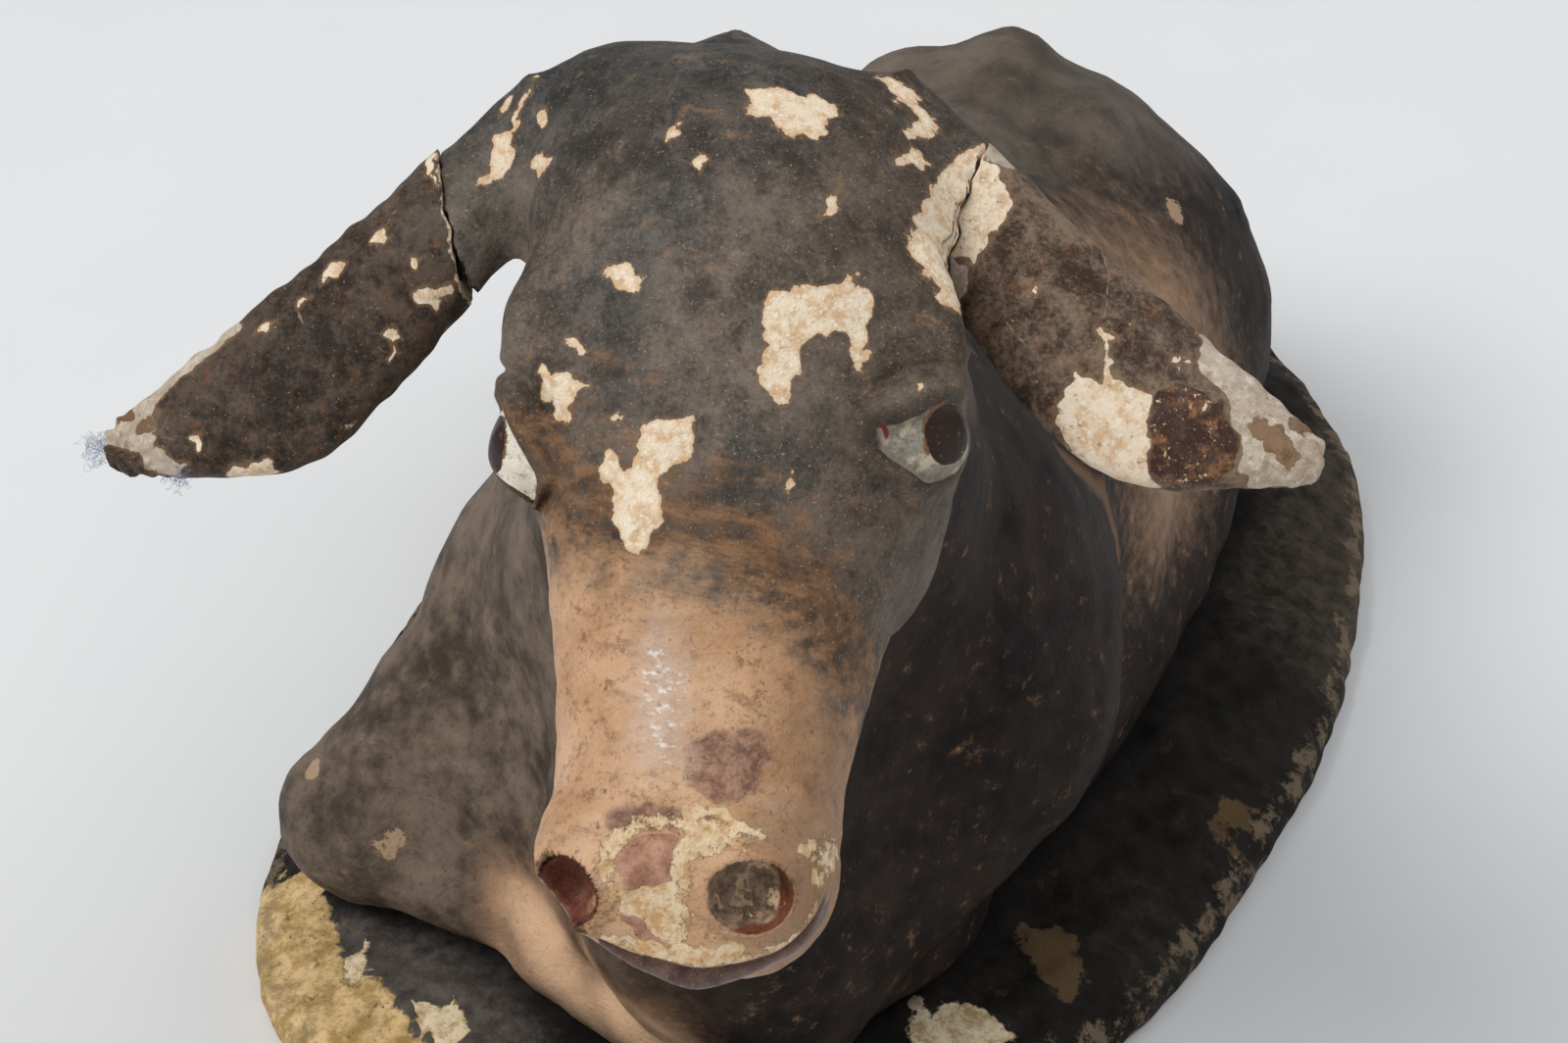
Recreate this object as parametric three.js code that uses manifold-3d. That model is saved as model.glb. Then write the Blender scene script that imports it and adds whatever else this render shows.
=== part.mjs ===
import * as THREE from "three";
import Module from "manifold-3d";

// A recumbent ox moulded in papier-mache, with two glued ears, on an oval mound of the same material.
// Millimetres, +Z up. The ox faces -Y, its left side is +X, and the origin is the middle of the mound's underside.
// The ox is one smooth skin around a scalar field: rounded forms joined with soft blends, as the pulp fills a mould.

// Driving sizes
const figureHeight = 214; // ground to the top of the poll
const crownHeight = 16; // top of the mound, which the ox lies on
const rimHeight = 6.5; // mound's edge, where its side turns into its top
const moundFillet = 2; // rounding at the foot of the mound's side
const seatGap = 0.3; // between the ox's underside and the mound
const earJointGap = 0.3; // the open glue line at each ear's root
const earLength = 57;
const earHalfThickness = 5.2;
const headCell = 4.4; // mesh step on the head
const bodyCell = 9.5; // mesh step on the body
const rimSegments = 60;
const earSides = 18;

// The ox's own proportions are in units of a 198th of its height above the mound.
const oxHeightUnits = 198;
const unit = (figureHeight - crownHeight) / oxHeightUnits;

const wasm = await Module();
wasm.setup();

// Small numeric helpers

const clamp = (v, low, high) => Math.min(high, Math.max(low, v));

function smoothMin(a, b, k) {
  const h = Math.max(k - Math.abs(a - b), 0) / k;
  return Math.min(a, b) - (h * h * k) / 4;
}

const smoothMax = (a, b, k) => -smoothMin(-a, -b, k);

// A smooth curve through [place, value] stations, read from a fine table.
function profile(stations) {
  const first = stations[0][0];
  const last = stations[stations.length - 1][0];
  const steps = 400;
  const table = new Float64Array(steps + 1);
  const slope = (i) => {
    const a = stations[Math.max(i - 1, 0)];
    const b = stations[Math.min(i + 1, stations.length - 1)];
    return (b[1] - a[1]) / (b[0] - a[0]);
  };
  let i = 0;
  for (let s = 0; s <= steps; s++) {
    const x = first + ((last - first) * s) / steps;
    while (i < stations.length - 2 && x > stations[i + 1][0]) i++;
    const [x0, y0] = stations[i];
    const [x1, y1] = stations[i + 1];
    const w = x1 - x0;
    const t = (x - x0) / w;
    const rise = t * t * (3 - 2 * t);
    table[s] = y0 * (1 - rise) + y1 * rise + slope(i) * w * t * (1 - t) ** 2 - slope(i + 1) * w * t * t * (1 - t);
  }
  return (x) => {
    const s = clamp(((x - first) / (last - first)) * steps, 0, steps);
    const lower = Math.min(Math.floor(s), steps - 1);
    return table[lower] + (table[lower + 1] - table[lower]) * (s - lower);
  };
}

// Rounded forms, each a signed distance near its own surface

function egg(x, y, z, at, radii) {
  const dx = x - at[0];
  const dy = y - at[1];
  const dz = z - at[2];
  const near = Math.hypot(dx / radii[0], dy / radii[1], dz / radii[2]);
  const steep = Math.hypot(dx / radii[0] ** 2, dy / radii[1] ** 2, dz / radii[2] ** 2);
  return steep < 1e-9 ? -Math.min(...radii) : (near * (near - 1)) / steep;
}

function limb(x, y, z, from, to, radii) {
  const ax = to[0] - from[0];
  const ay = to[1] - from[1];
  const az = to[2] - from[2];
  const dx = x - from[0];
  const dy = y - from[1];
  const dz = z - from[2];
  const t = clamp((dx * ax + dy * ay + dz * az) / (ax * ax + ay * ay + az * az), 0, 1);
  return Math.hypot(dx - ax * t, dy - ay * t, dz - az * t) - (radii[0] + (radii[1] - radii[0]) * t);
}

// The mound: an irregular oval whose radius is named every 30 degrees from +X, and a height that falls to its edge.

const rimRadii = [80, 89, 118, 149, 130, 99, 90, 103, 144, 161, 116, 87];
const moundSlope = [
  [0, 1],
  [0.45, 0.97],
  [0.7, 0.86],
  [0.85, 0.66],
  [0.94, 0.36],
  [0.98, 0.14],
  [1, 0],
];

function rimRadius(angle) {
  const count = rimRadii.length;
  const s = ((angle / (2 * Math.PI)) * count + 4 * count) % count;
  const i = Math.floor(s);
  const t = s - i;
  const [a, b, c, d] = [-1, 0, 1, 2].map((k) => rimRadii[(i + k + count) % count]);
  const curve = 2 * b + (c - a) * t + (2 * a - 5 * b + 4 * c - d) * t * t + (3 * b - a - 3 * c + d) * t ** 3;
  return (unit * curve) / 2;
}

// Rings of points run outward over the mound's top and down its side; lift raises the top, and foot is its underside.
function moundGeometry(lift, foot) {
  const rings = moundSlope.map(([share, rise]) => [share, 0, rimHeight + (crownHeight - rimHeight) * rise + lift]);
  rings.push([1, 0, rimHeight * 0.5 + lift]);
  rings.push([1, -moundFillet * 0.3, foot + moundFillet]);
  rings.push([1, -moundFillet, foot]);
  const points = [0, 0, rings[0][2]];
  rings.slice(1).forEach(([share, inset, z]) => {
    for (let i = 0; i < rimSegments; i++) {
      const angle = (2 * Math.PI * i) / rimSegments;
      const r = rimRadius(angle) * share + inset;
      points.push(r * Math.cos(angle), r * Math.sin(angle), z);
    }
  });
  points.push(0, 0, foot);
  return new THREE.BufferGeometry()
    .setAttribute("position", new THREE.Float32BufferAttribute(points, 3))
    .setIndex(ringFaces(rings.length - 1, rimSegments));
}

// Faces of a shape made of a first point, rings of equal count and a last point.
function ringFaces(ringCount, sides) {
  const faces = [];
  const at = (ring, i) => 1 + ring * sides + (i % sides);
  const last = 1 + ringCount * sides;
  for (let i = 0; i < sides; i++) {
    faces.push(0, at(0, i), at(0, i + 1));
    for (let ring = 0; ring < ringCount - 1; ring++) {
      faces.push(at(ring, i), at(ring + 1, i), at(ring + 1, i + 1));
      faces.push(at(ring, i), at(ring + 1, i + 1), at(ring, i + 1));
    }
    faces.push(at(ringCount - 1, i), last, at(ringCount - 1, i + 1));
  }
  return faces;
}

// The head, in its own frame: l to the animal's left, t from the poll to the muzzle, n out of the face.
// Its origin is on the skull's axis, level with the eyes.

const headAt = [25, -168, 151];
const headTurn = 14.2; // degrees to the animal's left
const headNod = 36.9; // degrees below level
const headTilt = 6.7; // degrees, left side up
// The poll's crest stands higher on the animal's right: how much, past which place, and over which reach.
const pollSlant = { rise: 0.13, middle: 2, half: 30, from: -12, over: 30 };

const rad = THREE.MathUtils.degToRad;
const faceLine = [
  Math.sin(rad(headTurn)) * Math.cos(rad(headNod)),
  -Math.cos(rad(headTurn)) * Math.cos(rad(headNod)),
  -Math.sin(rad(headNod)),
];
const levelLeft = [Math.cos(rad(headTurn)), Math.sin(rad(headTurn)), 0];
const levelUp = [
  Math.sin(rad(headTurn)) * Math.sin(rad(headNod)),
  -Math.cos(rad(headTurn)) * Math.sin(rad(headNod)),
  Math.cos(rad(headNod)),
];
const turned = (a, b, angle) => a.map((v, i) => v * Math.cos(angle) + b[i] * Math.sin(angle));
const headLeft = turned(levelLeft, levelUp, rad(headTilt));
const headOut = turned(levelUp, levelLeft, -rad(headTilt));

// The middle of the face wanders: the brow stands to the left of the muzzle.
const midline = profile([
  [-55, -2.5],
  [-38, 0.8],
  [-20, 1.8],
  [0, 2.2],
  [14, 1.5],
  [32, 0.2],
  [50, -1.4],
  [74, -2.9],
]);
const headWidth = profile([
  [-55, 6],
  [-52.5, 17],
  [-48, 24.5],
  [-40, 29],
  [-20, 29.4],
  [-4, 29],
  [8, 27.4],
  [20, 23.9],
  [34, 20.4],
  [46, 18.9],
  [56, 19.4],
  [62, 18.4],
  [67, 15],
  [71, 10],
  [74, 3],
]);
const faceHeight = profile([
  [-55, 3],
  [-51, 13],
  [-44, 20.5],
  [-30, 26.8],
  [-12, 28],
  [4, 25.5],
  [20, 21.5],
  [36, 18.6],
  [50, 17],
  [60, 14.5],
  [68, 8],
  [74, 2],
]);
const jawDepth = profile([
  [-55, 3],
  [-49, 13],
  [-38, 24],
  [-18, 31],
  [0, 30],
  [20, 24],
  [40, 18],
  [54, 13.5],
  [64, 9],
  [70, 5.5],
  [74, 2],
]);
const headEnds = [-54.3, 73];
// The jaw narrows towards its lowest line: by a share everywhere, more along the bridge, less at the lips.
const jawPinch = { all: 0.3, bridge: 0.18, bridgeFrom: 35, bridgeOver: 25, lips: 0.28, lipsFrom: 58, lipsOver: 10 };

function headForm(l, level, n) {
  const across = clamp(l - pollSlant.middle, -pollSlant.half, pollSlant.half);
  const t = level - pollSlant.rise * across * clamp((pollSlant.from - level) / pollSlant.over, 0, 1);
  const along = clamp(t, headEnds[0], headEnds[1]);
  const centre = midline(t);
  const width = headWidth(along);
  const depth = n > 0 ? faceHeight(along) : jawDepth(along);
  const atBridge = clamp((t - jawPinch.bridgeFrom) / jawPinch.bridgeOver, 0, 1);
  const atLips = clamp((t - jawPinch.lipsFrom) / jawPinch.lipsOver, 0, 1);
  const pinch = jawPinch.all + jawPinch.bridge * atBridge - jawPinch.lips * atLips;
  const narrowing = n < 0 ? 1 - pinch * clamp(-n / depth, 0, 1) : 1;
  const power = n > 0 ? 2.35 : 2.2;
  const ring = (Math.abs((l - centre) / (width * narrowing)) ** power + Math.abs(n / depth) ** power) ** (1 / power);
  const off = (ring - 1) * Math.min(width, depth);
  return Math.hypot(Math.max(off, 0), t - along) + Math.min(off, 0);
}

const browAt = [23.5, -8, 15];
const browRadii = [7, 12, 5.5];
const leftEye = [23.2, 3.5, 9.5];
const rightEye = [24.7, 3.6, 9.5];
const eyeRadius = 7.4;
const cheekAt = [16, 5, -15];
const cheekRadii = [9, 18, 12];
const leftNostril = { at: [7.9, 63.2, 10.2], radii: [5.1, 4.8, 5] };
const rightNostril = { at: [-14.6, 62.8, 9.6], radii: [4.6, 4.6, 5] };
const nostrilWing = [11.2, 60, 5];
const nostrilWingRadii = [7, 8.5, 8.5];
const lipAt = [6, 58.5, -6];
const lipRadii = [12.5, 12.5, 5.8];
const mouthLine = { width: 1.4, depth: 1.3, from: 60, over: 8 };
// The mouth's line out of the face, across it.
const lipLine = profile([
  [-22, 9],
  [-15, 8],
  [-10.9, 6.7],
  [-3.2, 4.6],
  [5.3, 3.3],
  [12.8, 3.8],
  [20, 5],
]);
// How far down the muzzle's end reaches, across it, seen square to a line that leans from the face's own.
const chinLean = 18; // degrees
const chinFrom = 40;
const chinLine = profile([
  [-26, 44],
  [-20.5, 54],
  [-18, 58],
  [-15.2, 61.1],
  [-11.3, 64.1],
  [-6.9, 66.9],
  [-1.9, 69.1],
  [3.7, 69.7],
  [8.7, 69.1],
  [12.6, 66.3],
  [15.4, 62.4],
  [16.5, 59.1],
  [18.1, 54.1],
  [22, 44],
]);

// Each ear is a closed leaf: its root is on the skull's side, and its blunt end hangs out and forward.
// Places are in the head's frame; droop is in degrees from square to the skull towards the muzzle.
const ears = {
  left: { side: 1, root: [31, -31, 2], droop: 43 },
  right: { side: -1, root: [-39, -31, 3], droop: 41 },
};
const earJointTurn = 14; // degrees that the glue line's plane is turned from the skull's side
const earSweepBack = 7; // degrees away from the face
const stumpInside = 20; // how far the ear's stump runs on into the skull
const stumpOut = 12; // and out past its root
const cutHalf = [14.5, 12]; // half size of the glue line's face, in mm as the leaf is

for (const ear of Object.values(ears)) {
  const back = Math.sin(rad(earSweepBack));
  const flat = Math.cos(rad(earSweepBack));
  const [cd, sd] = [Math.cos(rad(ear.droop)), Math.sin(rad(ear.droop))];
  ear.along = [ear.side * cd * flat, sd * flat, -back];
  ear.across = [-ear.side * sd, cd, 0];
  ear.out = [ear.side * cd * back, sd * back, flat];
}

// The leaf's two edges, in mm across its axis, over its share of the length; the end is cut on a slant.
const lowerEdge = profile([
  [-0.4, 9],
  [0, 9.6],
  [0.2, 11.6],
  [0.4, 13.2],
  [0.58, 13.4],
  [0.68, 12],
  [0.78, 8],
  [0.9, 1.6],
  [0.97, -2.6],
  [1, -4.6],
]);
const upperEdge = profile([
  [-0.4, -8.8],
  [0, -8.8],
  [0.2, -8.6],
  [0.4, -9],
  [0.75, -10],
  [0.9, -10.2],
  [0.97, -9.4],
  [1, -7.8],
]);
const earBody = profile([
  [-0.4, 1.25],
  [0, 1.2],
  [0.3, 1.05],
  [0.7, 0.85],
  [0.92, 0.6],
  [1, 0.3],
]);

function earStump(l, t, n, ear) {
  const d = [l - ear.root[0], t - ear.root[1], n - ear.root[2]];
  const dot = (axis) => d[0] * axis[0] + d[1] * axis[1] + d[2] * axis[2];
  const s = dot(ear.along);
  const share = (s * unit) / earLength;
  const low = lowerEdge(share) / unit;
  const high = upperEdge(share) / unit;
  const thick = (earHalfThickness / unit) * earBody(share);
  const ring = (Math.hypot((dot(ear.across) - (low + high) / 2) / ((low - high) / 2), dot(ear.out) / thick) - 1) * thick;
  const past = Math.max(s - stumpOut, -stumpInside - s, 0);
  return Math.hypot(Math.max(ring, 0), past) + Math.min(ring, 0);
}

function headField(x, y, z) {
  const d = [x - headAt[0], y - headAt[1], z - headAt[2]];
  const l = d[0] * headLeft[0] + d[1] * headLeft[1] + d[2] * headLeft[2];
  const t = d[0] * faceLine[0] + d[1] * faceLine[1] + d[2] * faceLine[2];
  const n = d[0] * headOut[0] + d[1] * headOut[1] + d[2] * headOut[2];
  if (Math.hypot(l, t, n) > 110) return Math.hypot(l, t, n) - 75;
  const m = l - midline(t);
  let f = headForm(l, t, n);
  f = smoothMin(f, egg(Math.abs(m), t, n, cheekAt, cheekRadii), 8);
  f = smoothMin(f, egg(m, t, n, lipAt, lipRadii), 3);
  f = smoothMin(f, egg(Math.abs(m), t, n, nostrilWing, nostrilWingRadii), 5);
  f = smoothMin(f, egg(Math.abs(m), t, n, browAt, browRadii), 5);
  f = smoothMin(f, egg(Math.abs(m), t, n, m < 0 ? rightEye : leftEye, [eyeRadius, eyeRadius, eyeRadius]), 2);
  f = smoothMin(f, earStump(l, t, n, l < 0 ? ears.right : ears.left), 5);
  const down = t * Math.cos(rad(chinLean)) - n * Math.sin(rad(chinLean));
  if (t > chinFrom) f = smoothMax(f, down - chinLine(l), 2);
  const nostril = m < 0 ? rightNostril : leftNostril;
  f = smoothMax(f, -egg(l, t, n, nostril.at, nostril.radii), 1.5);
  const mouth = Math.exp(-(((n - lipLine(l)) / mouthLine.width) ** 2));
  return f + mouthLine.depth * mouth * clamp((t - mouthLine.from) / mouthLine.over, 0, 1);
}

// The body and legs, as named rounded forms in the ox's units: x to the animal's left, y back, z above the mound.

const eggs = {
  chest: { at: [0, -70, 46], radii: [47, 50, 54], blend: 1 },
  barrel: { at: [2, -12, 40], radii: [48, 82, 52], blend: 22 },
  belly: { at: [2, -4, 12], radii: [51, 94, 32], blend: 10 },
  rump: { at: [4, 43, 36], radii: [46, 54, 52], blend: 16 },
  withers: { at: [2, -66, 84], radii: [20, 36, 20], blend: 16 },
  brisket: { at: [4, -108, 32], radii: [27, 26, 38], blend: 16 },
  leftShoulder: { at: [33, -68, 46], radii: [23, 30, 40], blend: 7 },
  rightShoulder: { at: [-35, -72, 45], radii: [22, 28, 27], blend: 8 },
  leftHaunch: { at: [32, 49, 28], radii: [21, 39, 42], blend: 8 },
  rightHaunch: { at: [-28, 56, 30], radii: [25, 44, 44], blend: 8 },
  rightHip: { at: [-14, 46, 82], radii: [8, 9, 6], blend: 8 },
  leftHip: { at: [20, 40, 82], radii: [8, 10, 6], blend: 8 },
  backbone: { at: [3, -8, 84], radii: [6, 78, 7], blend: 10 },
};
const limbs = {
  neck: { from: [18, -137, 157], to: [2, -82, 74], radii: [24, 39], blend: 16 },
  nape: { from: [15, -121, 149], to: [2, -62, 94], radii: [13.5, 18], blend: 10 },
  throat: { from: [22, -148, 138], to: [6, -118, 46], radii: [17, 21], blend: 14 },
  dewlap: { from: [21, -150, 124], to: [6, -127, 32], radii: [11, 15], blend: 14 },
  rightUpperArm: { from: [-38, -78, 44], to: [-64, -99, 15], radii: [17, 13], blend: 8 },
  rightElbow: { from: [-48, -88, 26], to: [-14, -106, 24], radii: [15, 15], blend: 9 },
  rightCannon: { from: [-64, -99, 12], to: [-28, -109, 9], radii: [11.5, 9.5], blend: 7 },
  rightHoof: { from: [-24, -111, 6], to: [-4, -118, 5], radii: [10.5, 10.5], blend: 3 },
  leftUpperArm: { from: [34, -78, 42], to: [16, -120, 17], radii: [19, 14.5], blend: 12 },
  leftCannon: { from: [17, -122, 10], to: [30, -82, 5], radii: [10, 9], blend: 7 },
  rightThigh: { from: [-40, 60, 34], to: [-58, 26, 22], radii: [20, 15], blend: 12 },
  rightShank: { from: [-56, 28, 18], to: [-65, 82, 9], radii: [13, 11], blend: 8 },
  rightHindCannon: { from: [-67, 82, 7], to: [-72, 38, 4], radii: [10.5, 9.5], blend: 5 },
  rightHindHoof: { from: [-72, 32, 3], to: [-70, 16, 2], radii: [10.5, 11], blend: 3 },
  leftThigh: { from: [32, 52, 34], to: [41, 14, 14], radii: [21, 13], blend: 10 },
  tailRoot: { from: [3, 84, 62], to: [-6, 100, 34], radii: [8, 6.5], blend: 7 },
  tail: { from: [-6, 100, 34], to: [-38, 94, 18], radii: [6.5, 6], blend: 4 },
  tailTuft: { from: [-38, 94, 16], to: [-58, 95, 5], radii: [6.5, 9], blend: 5 },
};

const underside = -13; // the skin's flat bottom, inside the mound, where it is cut away

function oxField(x, y, z) {
  let f = 1e3;
  for (const form of Object.values(eggs)) f = smoothMin(f, egg(x, y, z, form.at, form.radii), form.blend);
  for (const form of Object.values(limbs)) f = smoothMin(f, limb(x, y, z, form.from, form.to, form.radii), form.blend);
  return Math.max(smoothMin(f, headField(x, y, z), 9), underside - z);
}

// Where the grid is fine, from the head's middle along x, y and z.
const headFine = [
  [-33, 33],
  [-70, 36],
  [-55, 49],
];

// Grid lines along an axis, past every form and close together around the head.
function gridLines(axis) {
  const ends = [headAt[axis] + headEnds[1] + eyeRadius, headAt[axis] - headEnds[1] - eyeRadius];
  for (const { at, radii } of Object.values(eggs)) ends.push(at[axis] - radii[axis], at[axis] + radii[axis]);
  for (const { from, to, radii } of Object.values(limbs))
    ends.push(from[axis] - radii[0], from[axis] + radii[0], to[axis] - radii[1], to[axis] + radii[1]);
  const to = Math.max(...ends) + bodyCell;
  const fineFrom = headAt[axis] + headFine[axis][0];
  const fineTo = headAt[axis] + headFine[axis][1];
  const lines = [Math.min(...ends) - 2 * bodyCell];
  while (lines[lines.length - 1] < to) {
    const at = lines[lines.length - 1];
    const off = Math.max(fineFrom - at, at - fineTo, 0);
    lines.push(at + Math.min(headCell + off * 0.35, bodyCell));
  }
  return lines;
}

// A closed skin on the field's zero surface: one vertex for each grid cell that the surface crosses.
function skin(field, xs, ys, zs) {
  const [nx, ny, nz] = [xs.length, ys.length, zs.length];
  const at = (i, j, k) => (k * ny + j) * nx + i;
  const value = new Float64Array(nx * ny * nz);
  for (let k = 0; k < nz; k++)
    for (let j = 0; j < ny; j++) for (let i = 0; i < nx; i++) value[at(i, j, k)] = field(xs[i], ys[j], zs[k]);
  while (fillPinches(value, [1, nx, nx * ny])) continue;
  const vertexOf = new Int32Array(nx * ny * nz).fill(-1);
  const points = [];
  const corners = [0, 1, 2, 3, 4, 5, 6, 7].map((c) => [c & 1, (c >> 1) & 1, c >> 2]);
  const edges = [];
  corners.forEach((a, p) =>
    corners.forEach((b, q) => {
      if (p < q && Math.abs(a[0] - b[0]) + Math.abs(a[1] - b[1]) + Math.abs(a[2] - b[2]) === 1) edges.push([a, b]);
    }),
  );
  for (let k = 0; k < nz - 1; k++)
    for (let j = 0; j < ny - 1; j++)
      for (let i = 0; i < nx - 1; i++) {
        const sum = [0, 0, 0];
        let crossings = 0;
        for (const [a, b] of edges) {
          const va = value[at(i + a[0], j + a[1], k + a[2])];
          const vb = value[at(i + b[0], j + b[1], k + b[2])];
          if (va < 0 === vb < 0) continue;
          const t = va / (va - vb);
          sum[0] += xs[i + a[0]] + t * (xs[i + b[0]] - xs[i + a[0]]);
          sum[1] += ys[j + a[1]] + t * (ys[j + b[1]] - ys[j + a[1]]);
          sum[2] += zs[k + a[2]] + t * (zs[k + b[2]] - zs[k + a[2]]);
          crossings++;
        }
        if (!crossings) continue;
        vertexOf[at(i, j, k)] = points.length;
        points.push(onSurface(field, sum.map((v) => v / crossings)));
      }
  const faces = [];
  const quad = (inside, a, b, c, d) => {
    const [p, q, r, s] = [a, b, c, d].map((cell) => vertexOf[cell]);
    if (inside) faces.push(p, q, r, p, r, s);
    else faces.push(p, r, q, p, s, r);
  };
  for (let k = 1; k < nz - 1; k++)
    for (let j = 1; j < ny - 1; j++)
      for (let i = 1; i < nx - 1; i++) {
        const here = value[at(i, j, k)] < 0;
        if (here !== value[at(i + 1, j, k)] < 0)
          quad(here, at(i, j - 1, k - 1), at(i, j, k - 1), at(i, j, k), at(i, j - 1, k));
        if (here !== value[at(i, j + 1, k)] < 0)
          quad(here, at(i - 1, j, k - 1), at(i - 1, j, k), at(i, j, k), at(i, j, k - 1));
        if (here !== value[at(i, j, k + 1)] < 0)
          quad(here, at(i - 1, j - 1, k), at(i, j - 1, k), at(i, j, k), at(i - 1, j, k));
      }
  return { points: evened(field, points, faces), faces };
}

// Where the skin would touch itself between two diagonal grid points, the place between them is filled.
function fillPinches(value, steps) {
  let filled = 0;
  for (const [u, v] of [[steps[0], steps[1]], [steps[0], steps[2]], [steps[1], steps[2]]])
    for (let a = 0; a + u + v < value.length; a++) {
      const [b, c, d] = [a + u, a + v, a + u + v];
      if (value[a] < 0 !== value[d] < 0 || value[b] < 0 !== value[c] < 0 || value[a] < 0 === value[b] < 0) continue;
      const [p, q] = value[a] < 0 ? [b, c] : [a, d];
      value[value[p] < value[q] ? p : q] = -0.01;
      filled++;
    }
  return filled;
}

// Each vertex drifts towards the middle of its neighbours and back onto the surface, which evens the triangles.
function evened(field, points, faces) {
  let now = points;
  for (let round = 0; round < 3; round++) {
    const sums = now.map((p) => [...p, 1]);
    for (let f = 0; f < faces.length; f += 3)
      for (let e = 0; e < 3; e++) {
        const [a, b] = [faces[f + e], faces[f + ((e + 1) % 3)]];
        for (let axis = 0; axis < 3; axis++) sums[a][axis] += now[b][axis];
        sums[a][3]++;
      }
    now = now.map((p, i) => onSurface(field, p.map((v, axis) => v + 0.5 * (sums[i][axis] / sums[i][3] - v))));
  }
  return now;
}

// Moves a point a short way down the field's slope, onto the surface.
function onSurface(field, start) {
  const h = 0.05;
  let p = start;
  for (let step = 0; step < 2; step++) {
    const f = field(...p);
    const g = [0, 1, 2].map((axis) => {
      const q = [...p];
      q[axis] += h;
      return (field(...q) - f) / h;
    });
    const steep = g[0] ** 2 + g[1] ** 2 + g[2] ** 2 + 1e-6;
    const reach = clamp(f / steep, -1.2, 1.2);
    p = p.map((v, axis) => v - g[axis] * reach);
  }
  return p;
}

// Solids for joining and cutting

function solidFrom(points, faces) {
  return new wasm.Manifold(
    new wasm.Mesh({ numProp: 3, vertProperties: new Float32Array(points), triVerts: new Uint32Array(faces) }),
  );
}

// The head's frame is left-handed, so a shape made in it may come inside out.
function facingOut(points, faces) {
  const solid = solidFrom(points, faces);
  return solid.volume() > 0 ? solid : solidFrom(points, faces.toReversed());
}

const solidOf = (geometry) => solidFrom(geometry.attributes.position.array, geometry.index.array);

function geometryOf(solid) {
  const mesh = solid.getMesh();
  const geometry = new THREE.BufferGeometry()
    .setAttribute("position", new THREE.BufferAttribute(mesh.vertProperties, 3))
    .setIndex(new THREE.BufferAttribute(mesh.triVerts, 1));
  geometry.computeVertexNormals();
  return geometry;
}

// From the head's frame, in the ox's units, to the part's frame in millimetres.
function fromHead([l, t, n]) {
  return [0, 1, 2].map(
    (i) => unit * (headAt[i] + l * headLeft[i] + t * faceLine[i] + n * headOut[i]) + (i === 2 ? crownHeight : 0),
  );
}

// A block beside the ear's glue line: outward takes the ear's side of it and slants with the ear.
function besideGlueLine(ear, outward, gap) {
  const turn = rad(earJointTurn);
  const normal = [ear.side * Math.cos(turn), Math.sin(turn), 0];
  const edge = [-ear.side * Math.sin(turn), Math.cos(turn), 0];
  const rise = ear.along[0] * normal[0] + ear.along[1] * normal[1];
  const run = outward ? ear.along.map((v) => v / rise) : normal;
  const half = (outward ? cutHalf : [30, 30]).map((v) => v / unit);
  const reach = (outward ? 36 : -36) / unit;
  const points = [];
  for (let c = 0; c < 8; c++) {
    const a = c & 1 ? reach : 0;
    const b = c & 2 ? half[0] : -half[0];
    const o = c & 4 ? half[1] : -half[1];
    const corner = ear.root.map((v, i) => v + a * run[i] + (gap / unit) * normal[i] + b * edge[i]);
    points.push(...fromHead([corner[0], corner[1], corner[2] + o]));
  }
  const faces = [0, 2, 1, 1, 2, 3, 4, 5, 6, 5, 7, 6, 0, 1, 4, 1, 5, 4, 2, 6, 3, 3, 6, 7, 0, 4, 2, 2, 4, 6, 1, 3, 5, 3, 7, 5];
  return facingOut(points, faces);
}

function oxSolid() {
  const { points, faces } = skin(oxField, gridLines(0), gridLines(1), gridLines(2));
  const placed = points.flatMap(([x, y, z]) => [x * unit, y * unit, z * unit + crownHeight]);
  let solid = solidFrom(placed, faces);
  solid = solid.subtract(solidOf(moundGeometry(seatGap, -30)));
  for (const ear of Object.values(ears)) solid = solid.subtract(besideGlueLine(ear, true, 0));
  return solid;
}

// An ear's leaf, as rings of a flattened oval from inside the skull to its end, cut off at the glue line.
function earSolid(ear) {
  const shares = [-0.3, -0.1, 0.06, 0.2, 0.34, 0.48, 0.6, 0.7, 0.8, 0.89, 0.96, 1];
  const ringPoint = (share, across, out) =>
    fromHead(
      ear.root.map(
        (v, i) => v + (share * earLength * ear.along[i] + across * ear.across[i] + out * ear.out[i]) / unit,
      ),
    );
  const middle = (share) => (lowerEdge(share) + upperEdge(share)) / 2;
  const points = ringPoint(shares[0], middle(shares[0]), 0);
  for (const share of shares)
    for (let i = 0; i < earSides; i++) {
      const angle = (2 * Math.PI * i) / earSides;
      const across = middle(share) + (Math.cos(angle) * (lowerEdge(share) - upperEdge(share))) / 2;
      points.push(...ringPoint(share, across, Math.sin(angle) * earHalfThickness * earBody(share)));
    }
  points.push(...ringPoint(1.015, middle(1), 0));
  const leaf = facingOut(points, ringFaces(shares.length, earSides));
  return leaf.subtract(besideGlueLine(ear, false, earJointGap));
}

// The finishes: dark distemper over tan, and worn green on the mound.
const hide = new THREE.MeshStandardMaterial({ color: 0x3b332e, roughness: 0.72, metalness: 0 });
const earPaint = new THREE.MeshStandardMaterial({ color: 0x352c27, roughness: 0.75, metalness: 0 });
const mossPaint = new THREE.MeshStandardMaterial({ color: 0x3a3a2c, roughness: 0.8, metalness: 0 });

function named(name, solid, material) {
  const mesh = new THREE.Mesh(geometryOf(solid), material);
  mesh.name = name;
  return mesh;
}

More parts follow.
